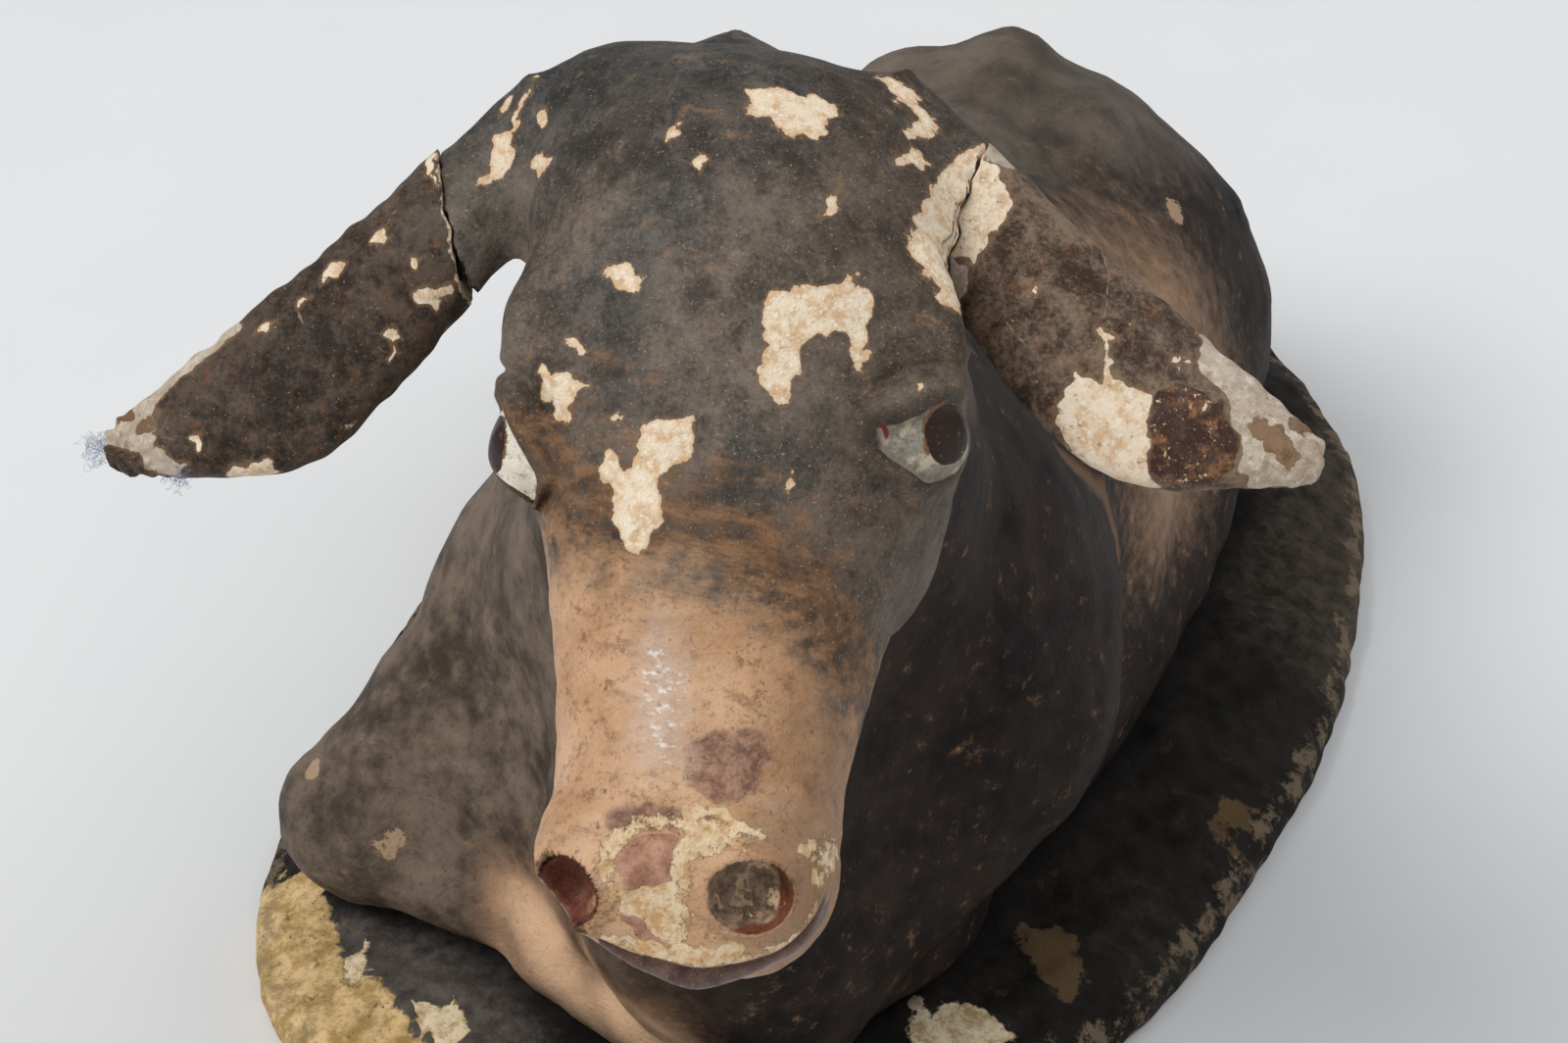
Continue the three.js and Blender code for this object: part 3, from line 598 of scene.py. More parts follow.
# Writes numpy points and faces, in millimetres, as a smooth-shaded mesh in metres with float attributes.
def pieceFrom(name, points, faces, attributes, material, node=None, normals=None):
    mesh = bpy.data.meshes.new(name)
    mesh.from_pydata((points / 1000).tolist(), [], faces.tolist())
    mesh.shade_smooth()
    for key, values in attributes.items():
        layer = mesh.attributes.new(key, "FLOAT", "POINT")
        layer.data.foreach_set("value", np.ascontiguousarray(values, np.float32))
    if normals is not None:
        lengths = np.linalg.norm(normals, axis=1, keepdims=True)
        mesh.normals_split_custom_set_from_vertices((normals / lengths).tolist())
    mesh.materials.append(material)
    mesh.update()
    obj = bpy.data.objects.new(name, mesh)
    bpy.context.scene.collection.objects.link(obj)
    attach(obj, "root")
    if node:
        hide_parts(node)


# One value in a material's nodes, so that shader sums read as sums.
class Value:
    def __init__(self, paint, socket):
        self.paint, self.socket = paint, socket

    def maths(self, operation, *others):
        node = self.paint.node("ShaderNodeMath", {"operation": operation}, dict(enumerate((self, *others))))
        return Value(self.paint, node.outputs[0])

    def __add__(self, other):
        return self.maths("ADD", other)

    def __sub__(self, other):
        return self.maths("SUBTRACT", other)

    def __rsub__(self, other):
        return self * -1.0 + other

    def __mul__(self, other):
        return self.maths("MULTIPLY", other)

    __radd__, __rmul__ = __add__, __mul__

    def top(self, other):
        return self.maths("MAXIMUM", other)

    def rise(self, low, high):
        inputs = {0: self, 1: low, 2: high, 3: 0.0, 4: 1.0}
        node = self.paint.node("ShaderNodeMapRange", {"interpolation_type": "SMOOTHSTEP"}, inputs)
        return Value(self.paint, node.outputs[0])


class Paint:
    def __init__(self, name):
        self.material = bpy.data.materials.new(name)
        self.material.use_nodes = True
        self.tree = self.material.node_tree
        self.tree.nodes.clear()
        self.place = self.node("ShaderNodeTexCoord").outputs["Object"]

    def node(self, kind, settings=None, inputs=None):
        node = self.tree.nodes.new(kind)
        for key, value in (settings or {}).items():
            setattr(node, key, value)
        for key, value in (inputs or {}).items():
            socket = node.inputs[key]
            if isinstance(value, Value):
                self.tree.links.new(value.socket, socket)
            elif isinstance(value, bpy.types.NodeSocket):
                self.tree.links.new(value, socket)
            elif socket.type == "RGBA" and len(value) == 3:
                socket.default_value = (*value, 1)
            else:
                socket.default_value = value
        return node

    def attribute(self, name):
        return Value(self, self.node("ShaderNodeAttribute", {"attribute_name": name}).outputs["Fac"])

    # Noise with features of about a size in millimetres, centred on zero; stretch draws it out on an axis.
    def noise(self, size, detail=4.0, rough=0.55, stretch=None, shift=0.0):
        place = self.place
        if stretch or shift:
            inputs = {0: place, 1: stretch or (1, 1, 1), 2: (shift, shift, shift)}
            place = self.node("ShaderNodeVectorMath", {"operation": "MULTIPLY_ADD"}, inputs).outputs[0]
        inputs = {"Vector": place, "Scale": 1000 / size, "Detail": detail, "Roughness": rough}
        return Value(self, self.node("ShaderNodeTexNoise", None, inputs).outputs["Fac"]) - 0.5

    # Nearness to the middle of random cells of about the given size in millimetres, centred on zero.
    def cells(self, size):
        node = self.node("ShaderNodeTexVoronoi", {"feature": "F1"},
                         {"Vector": self.place, "Scale": 1000 / size})
        return Value(self, node.outputs["Distance"]) * -1.0 + 0.5

    # Distance from the borders of cracked plates of about a size in millimetres, as a share of that size.
    def plates(self, size, warp=0.35):
        swirl = self.node("ShaderNodeTexNoise", None,
                          {"Vector": self.place, "Scale": 1600 / size, "Detail": 3.0})
        inputs = {0: swirl.outputs["Color"], 1: (warp * size / 1000,) * 3, 2: self.place}
        moved = self.node("ShaderNodeVectorMath", {"operation": "MULTIPLY_ADD"}, inputs).outputs[0]
        inputs = {"Vector": moved, "Scale": 1000 / size}
        node = self.node("ShaderNodeTexVoronoi", {"feature": "DISTANCE_TO_EDGE"}, inputs)
        return Value(self, node.outputs["Distance"])

    def mix(self, share, a, b):
        node = self.node("ShaderNodeMix", {"data_type": "RGBA", "clamp_factor": True}, {0: share, 6: a, 7: b})
        return Value(self, node.outputs[2])

    # A tone between two colours, half way where the spread is zero.
    def between(self, spread, a, b):
        return self.mix((spread + 0.5).rise(0, 1), a, b)

    # Height is in millimetres.
    def finish(self, colour, roughness, height, coat=0.0):
        bump = self.node("ShaderNodeBump", None, {"Strength": 1.0, "Distance": 0.001, "Height": height})
        inputs = {"Base Color": colour, "Roughness": roughness, "Normal": bump.outputs[0]}
        inputs |= {"Specular IOR Level": 0.12, "Coat Weight": coat, "Coat Roughness": 0.35}
        shader = self.node("ShaderNodeBsdfPrincipled", None, inputs)
        self.node("ShaderNodeOutputMaterial", None, {"Surface": shader.outputs[0]})
        return self.material


# Paint losses and marks, in millimetres on the face chart, u across and v down.
faceMarks = {
    "flakes": {
        "forehead": "3.5 -46, 5.1 -46.1, 8.2 -45.7, 10 -45, 12.1 -44.9, 15 -43.9, 16.4 -42.5,"
        " 15.1 -41.6, 14.1 -41.4, 14.3 -39.3, 13.9 -38.3, 12.7 -38.6, 11.8 -39.4, 9.7 -39.1, 8.6 -40,"
        " 6.6 -41.6, 5.1 -42.3, 3.6 -42.8, 4.2 -43.7",
        "foreheadThin": "-2.8 -43.6, -3.9 -43.3, -4.2 -41.5, -5.5 -40.4, -6.3 -39.4, -5.7 -38.5,"
        " -5.1 -38.9, -4.1 -39, -4.4 -40.1, -3.6 -41.2, -3.7 -42.3",
        "foreheadSmall": "-1.9 -36.4, -0.8 -36.7, 0.4 -36.4, -0.4 -35.2, -0.8 -33.7, -1.3 -34.7",
        "pollRight": "-32.4 -41.5, -29.6 -41.6, -29.4 -40, -29.5 -37.1, -31.2 -34.8, -34.1 -34.1,"
        " -35.2 -34.5, -33 -36.2, -32.8 -38",
        "pollRightWorn": "-31.8 -46.6, -30.2 -47.2, -31.4 -44.5, -32.9 -43.4",
        "pollRightEdge": "-27.6 -49.2, -27.3 -49.6, -27.9 -46.4, -29.4 -43.5, -29.3 -41.3, -30.2 -41.4,"
        " -30.1 -43.8, -28.6 -46.9",
        "pollRightA": "-25.5 -44.7, -24 -42.4, -25 -41.3, -26.2 -42.6",
        "pollRightB": "-24.6 -38.3, -22.9 -37.2, -22.9 -36.1, -25 -35, -26.8 -36.7, -26.5 -37.7",
        "pollLeft": "18.4 -48.7, 19.8 -48.7, 21.7 -48.3, 23.6 -46.6, 25.2 -44, 26.3 -42.9, 27.4 -40.6,"
        " 26.4 -39.5, 24.2 -39.5, 23.7 -40.1, 24.5 -42.6, 23.4 -43.8, 21.6 -45.5, 20.1 -47.5",
        "pollLeftLower": "22.8 -37.9, 23.8 -37.2, 24.8 -38, 26.1 -37.2, 27 -36.2, 26.3 -35, 25 -35.8,"
        " 24.2 -35.5, 22.7 -36.7",
        "templeA": "16.9 -33.3, 17.5 -32.5, 17.9 -31.2, 17.2 -31.4, 16.5 -32.1",
        "templeB": "15.6 -31.1, 16.6 -30.7, 17.1 -29, 15.9 -28.6, 14.9 -28.4, 15.8 -29.5",
        "browDot": "-3.5 -29, -3 -28.6, -3.3 -28.1, -3.7 -28.5",
        "middleRight": "-13.3 -21.5, -12 -22, -10.8 -22.6, -9.2 -22.3, -8.2 -21, -7.2 -20.5, -7.7 -19.3,"
        " -8.4 -18.1, -9.6 -18.9, -11.4 -19.7, -12.9 -20.7",
        "arch": "8.5 -17.1, 9.4 -18.1, 9.6 -19.5, 10.3 -18.7, 11.5 -18.2, 12.5 -19.7, 13.7 -19,"
        " 15.9 -18.8, 17.5 -19.7, 18.6 -20.5, 19.5 -20.8, 19.8 -19, 21.2 -18.9, 22.1 -17.3, 21.6 -15.9,"
        " 21.4 -13.5, 21.1 -11.5, 22.2 -10.8, 20.9 -9.7, 20.4 -8.1, 19.2 -8.3, 19.8 -9.8, 19.4 -12.2,"
        " 18.5 -13.4, 15.8 -13.4, 14.5 -13.1, 13.5 -11.7, 13.1 -9.4, 13.2 -7.7, 12.4 -7.4, 12.2 -4.6,"
        " 11.7 -3.6, 10.5 -4.3, 10 -5.7, 8.5 -7, 8.3 -8.1, 8.8 -11, 8.8 -15, 8.5 -16.1",
        "belowRight": "-18.3 -12.2, -17.5 -13.4, -16.3 -13, -14.5 -11, -15.7 -10.9, -17.1 -11.7",
        "eyeRight": "-22.1 -8.5, -21.2 -9.7, -20.4 -9.3, -19.8 -7.9, -18.8 -9, -17.4 -8.9, -16.3 -7.5,"
        " -14.4 -6.8, -16.2 -5.8, -16.6 -4.8, -17.6 -3.9, -16.9 -2.5, -17.4 -1.2, -18.3 -2.5, -19.6 -3,"
        " -20.7 -3, -19.6 -4, -19.9 -5, -21.1 -5.3, -21.5 -6.9",
        "besideRight": "-11.6 -2.5, -10.1 -3.7, -8.9 -3.1, -9.4 -2.1, -11.1 -1.5",
        "fork": "-7.4 -1.7, -5.3 -1.9, -3.6 -2.6, -1.6 -2.8, -0.3 -2.3, 0.5 -0.7, -0.1 1.3, -0.7 2.9,"
        " -2.7 3.4, -4.3 5.3, -4.5 6.7, -3.6 9.3, -4.4 11.3, -5.9 12.6, -6.3 14.1, -7.2 15.1, -8.3 13.9,"
        " -9.1 12.6, -10.8 10.6, -11.5 10.3, -10.3 9.2, -10.6 7.2, -12.1 5.4, -12.7 4.4, -12 1.6,"
        " -11.2 1.1, -10 2.4, -9.3 3.8, -8.3 3.3, -7.4 1.7",
        "chip": "12.3 4.6, 12.5 6, 11.9 6.6, 11.8 5.6",
        "lidChipA": "21 -7.3, 21.7 -7.6, 22.2 -6.9, 21.5 -6.2",
        "lidChipB": "27.7 -7.2, 28.4 -7.4, 28.7 -6.7, 28 -6.3",
        "earRoot": "25.4 -24, 25.8 -28, 26.9 -32, 28.6 -36, 31 -39, 40 -40, 40 -16, 33.6 -15.5,"
        " 31 -16.7, 28 -20.5",
    },
    "creams": {
        "strip": "4.7 46.5, 6.4 47.7, 10 50, 9.4 50.5, 6.5 48.6, 4.6 47.1",
        "rimA": "15.6 53.7, 16.1 53.7, 16.1 56.1, 15.5 56",
        "rimB": "14.1 50.7, 15.7 51, 15.5 52.2, 14.3 51.9",
        "noseA": "-10.1 51.1, -7.8 49.8, -5.9 49.5, -7.7 51, -8.5 52.3, -9.9 52",
        "nose": "-0.2 46.2, 4.1 46.2, 4.5 46.9, 2.7 47, 1.8 47.7, 3.3 49.2, 4.2 50, 3.6 51.9, 1.2 52.8,"
        " 0 54.3, -1.5 55.8, -0.8 57.6, -0.6 60, -1.8 62.5, -2.6 63.7, -4.2 62.6, -5.6 60.7, -7.8 59.2,"
        " -8.2 57.4, -5.6 56.7, -3.1 56.1, -1.5 55.4, -1.2 53.7, -0.5 50.9, 0.4 49.2",
        "lip": "-7.9 63, -4.8 63.4, -1.7 64.1, 2 64.3, 5.6 63.7, 7.2 63.5, 6.3 65.2, 3.6 66.1,"
        " -0.7 66.4, -4.7 65.7, -7.5 64.5",
    },
    "maroons": {
        "noseA": "-5.9 49.8, -4.1 49.3, -1.7 49.2, 0.1 49.8, -0.9 51.3, -1.2 53.7, -1.5 55.8, -3.7 56.1,"
        " -6.1 56.9, -6.8 57.4, -7.9 56.5, -8.1 55, -8.9 54.4, -8.6 52.5, -7.4 50.8",
        "noseB": "-8.1 59.3, -6.1 60.1, -4.8 62, -2.6 64.1, -3.3 64.5, -4.9 63.1, -6.6 62.6, -6.9 61.3,"
        " -8.5 60.5",
        "noseC": "-1.7 59.9, -0.3 60.3, -0.4 62.8, -1.3 63.4, -2.5 62.9, -1.7 62.5, -1.9 61.3",
        "noseD": "-11 52.8, -10 52.7, -9.7 53.5, -10.6 53.8",
        "noseE": "-9.8 55.5, -8.9 55.5, -8.9 56.2, -9.7 56.2",
        "bridgeB": "2.4 47.1, 4.7 47.2, 4.7 49.2, 3.6 48.9",
    },
    "faded": {
        "bridge": "0.1 38.5, 2.5 36.7, 7.3 36.3, 10.2 37.1, 10.8 39.8, 9.2 43.4, 7.5 45.2, 4 46, 0.9 44,"
        " -0.4 41.6",
        "nose": "-10.3 47.2, -7.2 45.8, -2.2 45.8, 0.3 46.8, 0.3 48.8, -4.6 49, -8.4 49.8, -10.2 49",
    },
    "cracks": {
        "long": "11.7 -3.6, 13 -0.7, 13.5 1.3, 12.3 4.4, 12 10.3",
        "footA": "12 10.3, 9.3 10.6",
        "footB": "12 10.3, 16.9 11.5",
        "footC": "12 10.3, 13.9 12.5",
        "arch": "-5.4 -7, -1 -11.8, 2.6 -13, 7.3 -15.5",
        "fork": "0.5 -0.3, 2.9 -1.9, 5.2 -3.3",
        "lid": "21.4 -6.2, 18.9 -0.7",
        "low": "2 7.2, 2.3 10, 3.3 12.7",
    },
}


# Attributes on the ox: distances inside each kind of mark in millimetres, and weights from 0 to 1.
def oxMarks(points, normals):
    h = toHead(points)
    out = normals @ headAxes.T
    l, t, n = h.T
    m = l - midline(t)
    u, v = faceChart(h)
    facing = out[:, 2] * np.cos(faceLean) + out[:, 1] * np.sin(faceLean)
    onFace = (facing > 0.05) & (t > -60) & (n > np.where(np.abs(l) > 25, -26, -8)) & (np.abs(l) < 46)
    wobble = 0.25 * waves(h, 3.2, 31)
    marks = {}
    for key in ("flakes", "creams", "maroons", "faded"):
        marks[key] = np.where(onFace, deepest(u + wobble, v - wobble, faceMarks[key]), -4.0)
    marks["crack"] = np.where(onFace, awayFromLines(u + wobble, v + 0.5 * wobble, faceMarks["cracks"]), 5.0)
    white, iris, tear, strip, clear = (np.full(len(points), -4.0) for _ in range(5))
    for side in (1, -1):
        near = np.flatnonzero((np.linalg.norm(h - eyeMiddle(side), axis=1) < 16) & (n > -3))
        eu, ev = eyeChart(h[near], side)
        inside = depthInside(eu, ev, outlineOf(eyeOutlines[side]))
        white[near] = np.maximum(white[near], inside)
        cu, cv, radius = irises[side]
        disc = np.minimum(radius - np.hypot(eu - cu, (ev - cv) * 0.9), inside)
        iris[near] = np.maximum(iris[near], disc)
        strip[near] = np.maximum(strip[near], np.where(ev < cv - 2.3, 0.36 - np.abs(disc + 0.1), -4))
        corner, reach = ([1.6, -1.4], [1.3, 0.35]) if side > 0 else ([7.0, -0.2], [0.8, 0.45])
        away = np.hypot((eu - corner[0]) / reach[0], (ev - corner[1]) / reach[1])
        tear[near] = np.maximum(tear[near], 1 - away)
        # the eye on the animal's right, facing the key light, is marked for a brighter white: painted light
        clear[near] = float(side < 0)
    marks |= {"white": white, "iris": iris, "tear": tear, "strip": strip, "clear": clear}
    holes = [egg(h, headValues["nostrils"][side], headValues["nostrilRadii"][side]) for side in (1, -1)]
    marks["nostril"] = np.where(t > 52, 0.8 - np.minimum(np.abs(holes[0]), np.abs(holes[1])), -4.0)
    offLeft = h - headValues["nostrils"][1]
    ring = bell(offLeft[:, 0] - 4.6, 1.7) + 0.8 * bell(offLeft[:, 1] - 4.4, 1.5) * bell(offLeft[:, 0] - 1, 4)
    marks["nostrilRed"] = np.clip(np.where(m < -4, 0.95, ring), 0, 1) * (t > 52)
    below = lipLine(l) - n
    sideways = 14.2 - np.abs(l - 2.3)
    marks["lip"] = np.where(t > 56, np.minimum(np.minimum(below + 0.1, 6 - below), sideways), -4.0)
    # Old varnish and gesso crust round the nose's red patches, above the mouth and beside the left nostril.
    nose = depthInside(u, v, outlineOf(faceMarks["maroons"]["noseA"]))
    bands = [1.5 - np.abs(nose + 1.3), np.minimum(1.3 - np.abs(below + 1.4), sideways),
             1.8 - np.hypot(u - 17, (v - 53) / 2), 2.6 - np.hypot((u - 4.5) / 2.2, v - 49.5),
             2.4 - np.hypot(u + 1.5, (v - 61) / 1.8)]
    marks["crust"] = np.where(onFace & (t > 44), np.max(bands, axis=0), -4.0)
    # The dark mask of the face gives way to tan towards the muzzle, lower on the animal's left.
    border = profile([[-34, 7], [-24, 12], [-16, 15.5], [-6, 18], [4, 21], [12, 25], [18, 31], [24, 42],
                      [30, 52]])(l)
    head = rise(78 - np.linalg.norm(h / [1, 1, 1.3], axis=1), -4, 4) * rise(n, -34, -20)
    marks["head"] = head
    tan = rise(t - border - 4.5 - 1.5 * waves(h, 9, 33), -12, 15)
    marks["tan"] = tan * (1 - 0.35 * rise(-n, 0, 14)) * head
    # painted shade: the face darkened towards the animal's left side, away from the key light, and underneath
    marks["paintedShade"] = np.clip(rise(m, 5, 19) + 0.5 * rise(-n, -4, 12), 0, 1) * head
    marks["warm"] = np.clip(bell(t - border, 11) + 0.25 * bell(l + 14, 10) * bell(t + 4, 16), 0, 1) * head
    marks["band"] = bell(t - border - 1, 8) * rise(-l, -24, -10) * head
    # the bridge's zone of whitish scuffs, painted glints and painted sheen
    marks["scuffAndGlint"] = bell(l - (-3.4 + 0.03 * (t - 35)), 4.6) * rise(t, 26, 36) * rise(-t, -54, -46) * head
    marks["crown"] = rise(-t, 18, 46) * head
    x, y, z = points.T
    # the chest's tan, stronger low down and fading towards the animal's left: real tan with painted light low
    # down and painted shade on the left
    chest = rise(x, -46, -30) * rise(24 - x, 0, 24) * rise(-y, 84, 104) * rise(62 - z, 0, 44)
    marks["chest"] = np.clip(chest * (1 + 0.2 * waves(points, 18, 34)), 0, 1) * (1 - head)
    marks["over"] = rise(z + 0.3 * y, 88, 120) * (1 - head)
    # painted light and shade: the body paler on the animal's right, towards the key light, and darker on its
    # left
    marks["light"] = rise(-x, -14, 26) * (1 - head)
    marks["flank"] = np.clip(bell((x - 52) / 30, 1) * bell((y - 4) / 34, 1) * rise(z, 24, 60), 0, 1)
    # painted highlight: a lighter line along the rear edge of the left shoulder
    shoulder = awayFromLines(y, z, {"shoulder": "-52 96, -38 78, -34 58, -38 34"}, 20.0)
    marks["edge"] = bell(shoulder, 3.0) * rise(x, 28, 38)
    spots = [((-70, -105, 41), 2.6), ((-61.6, -107.6, 42), 2.0), ((-53.9, -110.8, 35), 3.2),
             ((39, 38, 88), 3.0), ((-58, 20, 60), 3.0), ((20, 96, 70), 3.5), ((-30, 60, 100), 3.0),
             ((48, -40, 44), 2.4), ((-66, 60, 40), 3.0), ((30, -20, 96), 2.2), ((-20, 10, 106), 2.6)]
    marks["spots"] = np.max([r - np.linalg.norm(points - at, axis=1) for at, r in spots], axis=0)
    # painted shade: the ox darkened within 12 mm above the mound, where body and mound meet
    marks["low"] = rise(12 - (z - moundTop(x, y)), 0, 12)
    return {key: np.clip(value, -6, 20) for key, value in marks.items()}


def hidePaint():
    paint = Paint("hidePaint")
    ragged = paint.cells(1.9) * 1.1 + paint.noise(0.9, 5.0, 0.7) * 1.3
    broad, fine, grain = paint.noise(13, 5.0, 0.6), paint.noise(3.2, 6.0, 0.68), paint.noise(0.5, 3.0)
    streak = paint.noise(4.2, 6.0, 0.72, (0.28, 1.5, 1.5))
    # Dark paint: the face's, darker and bluer at the crown and with painted shade on its left side and
    # underside; the body's, paler on the animal's right and darker on its left, painted light and shade.
    onHead, paintedShade = paint.attribute("head"), paint.attribute("paintedShade")
    tooth = paint.noise(0.7, 4.0, 0.75, shift=15.0)
    dark = paint.between(broad * 2.4 + fine * 1.3 + tooth * 1.2, (0.058, 0.046, 0.037), (0.215, 0.172, 0.135))
    crownTone = paint.between(fine * 1.2 + broad * 2.0 + tooth * 1.2, (0.016, 0.017, 0.017),
                              (0.075, 0.068, 0.058))
    dark = paint.mix(paint.attribute("crown") * 0.95, dark, crownTone)
    blue = paint.noise(19, 4.0, 0.6, shift=3.0).rise(0.0, 0.14)
    blueTone = paint.between(fine * 2.4 + tooth * 1.5, (0.03, 0.031, 0.03), (0.11, 0.105, 0.096))
    dark = paint.mix(blue * 0.7, dark, blueTone)
    # Painted shade on the face's left side and underside.
    shadedSideTone = paint.between(fine * 1.6 + tooth, (0.025, 0.016, 0.011), (0.12, 0.083, 0.056))
    dark = paint.mix(paintedShade * 0.5, dark, shadedSideTone)
    bandTone = paint.between(streak * 2, (0.028, 0.018, 0.013), (0.12, 0.07, 0.04))
    dark = paint.mix(paint.attribute("band") * 0.65, dark, bandTone)
    # The body's paler right side and darker left side are painted light and shade.
    brown = paint.between(broad * 2.2 + fine * 1.2, (0.007, 0.0045, 0.0035), (0.03, 0.019, 0.014))
    pale = paint.between(broad * 2.2 + fine * 1.4, (0.05, 0.036, 0.027), (0.2, 0.15, 0.11))
    body = paint.mix(paint.attribute("light"), brown, pale)
    overTone = paint.between(broad * 2, (0.07, 0.055, 0.044), (0.2, 0.165, 0.13))
    body = paint.mix((paint.attribute("over") + fine * 0.8).rise(0.1, 1.0) * 0.75, body, overTone)
    colour = paint.mix(onHead, body, dark)
    # Brown streaks where the dark is rubbed thin.
    warm = (paint.attribute("warm") * 0.6 + fine * 1.5 + streak * 2.2 - 0.2).rise(0, 0.5)
    warmTone = paint.mix(streak.rise(-0.1, 0.2), (0.13, 0.062, 0.03), (0.31, 0.165, 0.08))
    colour = paint.mix(warm * 0.75, colour, warmTone)
    rust = paint.noise(3.0, 6.0, 0.8, shift=7.0).rise(0.08, 0.22)
    rustTone = paint.mix(onHead, (0.05, 0.025, 0.014), (0.23, 0.105, 0.045))
    colour = paint.mix(rust * 0.65, colour, rustTone)
    flank = (paint.attribute("flank") + streak * 0.9).rise(0.2, 1.0)
    colour = paint.mix(flank * 0.85, colour, (0.42, 0.26, 0.16))
    # Tan of the muzzle and the chest.
    tanTone = paint.mix((paint.noise(8, 5.0) * 2.2 + 0.5).rise(0, 1), (0.5, 0.275, 0.135), (0.7, 0.44, 0.26))
    mottle = paint.noise(2.1, 6.0, 0.78, shift=5.0)
    tanTone = paint.mix((mottle + tooth * 0.4).rise(0.02, 0.18) * 0.8, tanTone, (0.24, 0.12, 0.055))
    tanTone = paint.mix((mottle * -1.0).rise(0.08, 0.22) * 0.6, tanTone, (0.7, 0.47, 0.29))
    tanTone = paint.mix((streak + tooth * 0.3).rise(0.02, 0.18) * 0.6, tanTone, (0.27, 0.14, 0.068))
    # Painted shade: the muzzle's tan darkened on the animal's left side and underneath.
    shadeTone = paint.between(fine * 2 + tooth, (0.14, 0.068, 0.031), (0.36, 0.195, 0.105))
    tanTone = paint.mix(paintedShade * 0.72, tanTone, shadeTone)
    # The chest's tan, partly its real tan and partly painted light and shade: brightest low down, darker
    # towards its top and the animal's left.
    chest = (paint.attribute("chest") + fine * 0.5 + broad * 0.4).rise(0.12, 0.95)
    chestTone = paint.mix(paint.attribute("chest").rise(0.3, 1.0), (0.2, 0.105, 0.055), (0.78, 0.5, 0.31))
    colour = paint.mix(chest * 0.95, colour, chestTone)
    tan = (paint.attribute("tan") + streak * 0.8 + fine * 0.6).rise(0.22, 0.86)
    colour = paint.mix(tan, colour, tanTone)
    # Painted highlight along the left shoulder's rear edge.
    edge = (paint.attribute("edge") + fine * 0.8).rise(0.35, 1.0)
    colour = paint.mix(edge * 0.5, colour, (0.3, 0.16, 0.09))
    # Painted shade: the ox darkened to near black just above the mound.
    colour = paint.mix(paint.attribute("low") * 0.8, colour, (0.012, 0.009, 0.008))
    # Faded red varnish on the nose; whitish rubbed streaks and haze along the bridge, partly real scuffing
    # and partly a painted highlight of the ridge's sheen, with near-white painted glints.
    faded = (paint.attribute("faded") + ragged * 1.0).rise(-0.5, 0.5)
    fadedTone = paint.between(fine * 3 + tooth * 1.5, (0.11, 0.045, 0.03), (0.42, 0.24, 0.165))
    colour = paint.mix(faded * 0.85, colour, fadedTone)
    wrinkle = paint.noise(1.1, 5.0, 0.7, (0.7, 1.2, 1.2), 4.0)
    hazeAndSheen = (paint.attribute("scuffAndGlint") + fine * 1.2 + tooth).rise(0.1, 1.0)
    colour = paint.mix(hazeAndSheen * 0.5, colour, (0.68, 0.5, 0.39))
    scuffAndGlint = (paint.attribute("scuffAndGlint") * 0.3 + wrinkle * 1.2 - 0.27).rise(0, 0.16)
    colour = paint.mix(scuffAndGlint * 0.8, colour, (0.95, 0.86, 0.78))
    maroon = (paint.attribute("maroons") + ragged * 0.45).rise(-0.08, 0.1)
    maroonTone = paint.between(fine * 2.4, (0.22, 0.085, 0.05), (0.6, 0.33, 0.22))
    colour = paint.mix(maroon, colour, maroonTone)
    crust = (paint.attribute("crust") * 0.5 + paint.noise(1.5, 6.0, 0.78, shift=6.0) * 4.2).rise(0.35, 0.5)
    cream = (paint.attribute("creams") + ragged * 0.8 + 0.25).rise(-0.06, 0.08).top(crust)
    creamTone = paint.mix(paint.noise(2.2, 6.0, 0.7).rise(-0.1, 0.14), (0.92, 0.72, 0.47), (0.68, 0.4, 0.17))
    creamTone = paint.mix(paint.noise(0.9, 4.0, 0.7, shift=3.0).rise(0.04, 0.18) * 0.8, creamTone,
                          (0.4, 0.22, 0.09))
    colour = paint.mix(cream, colour, creamTone)
    nostril = (paint.attribute("nostril") + paint.noise(1.2, 4.0) * 0.35).rise(0.15, 0.4)
    nostrilTone = paint.mix(paint.noise(2.4, 6.0, 0.72).rise(-0.1, 0.12), (0.17, 0.11, 0.073),
                            (0.5, 0.35, 0.24))
    flecks = (paint.noise(3.4, 4.0, 0.6, shift=17.0) + paint.noise(1.0, 4.0) * 0.3).rise(0.03, 0.09)
    nostrilTone = paint.mix(flecks * 0.9, nostrilTone, (0.85, 0.62, 0.4))
    red = (paint.attribute("nostrilRed") + fine * 0.7).rise(0.3, 0.6)
    redTone = paint.between(fine * 2.4, (0.09, 0.025, 0.014), (0.26, 0.085, 0.048))
    nostrilTone = paint.mix(red, nostrilTone, redTone)
    colour = paint.mix(nostril, colour, nostrilTone)
    lip = (paint.attribute("lip") + paint.noise(1.1, 4.0) * 0.4).rise(-0.06, 0.12)
    colour = paint.mix(lip, colour, paint.between(fine * 2.4, (0.055, 0.024, 0.018), (0.17, 0.085, 0.062)))
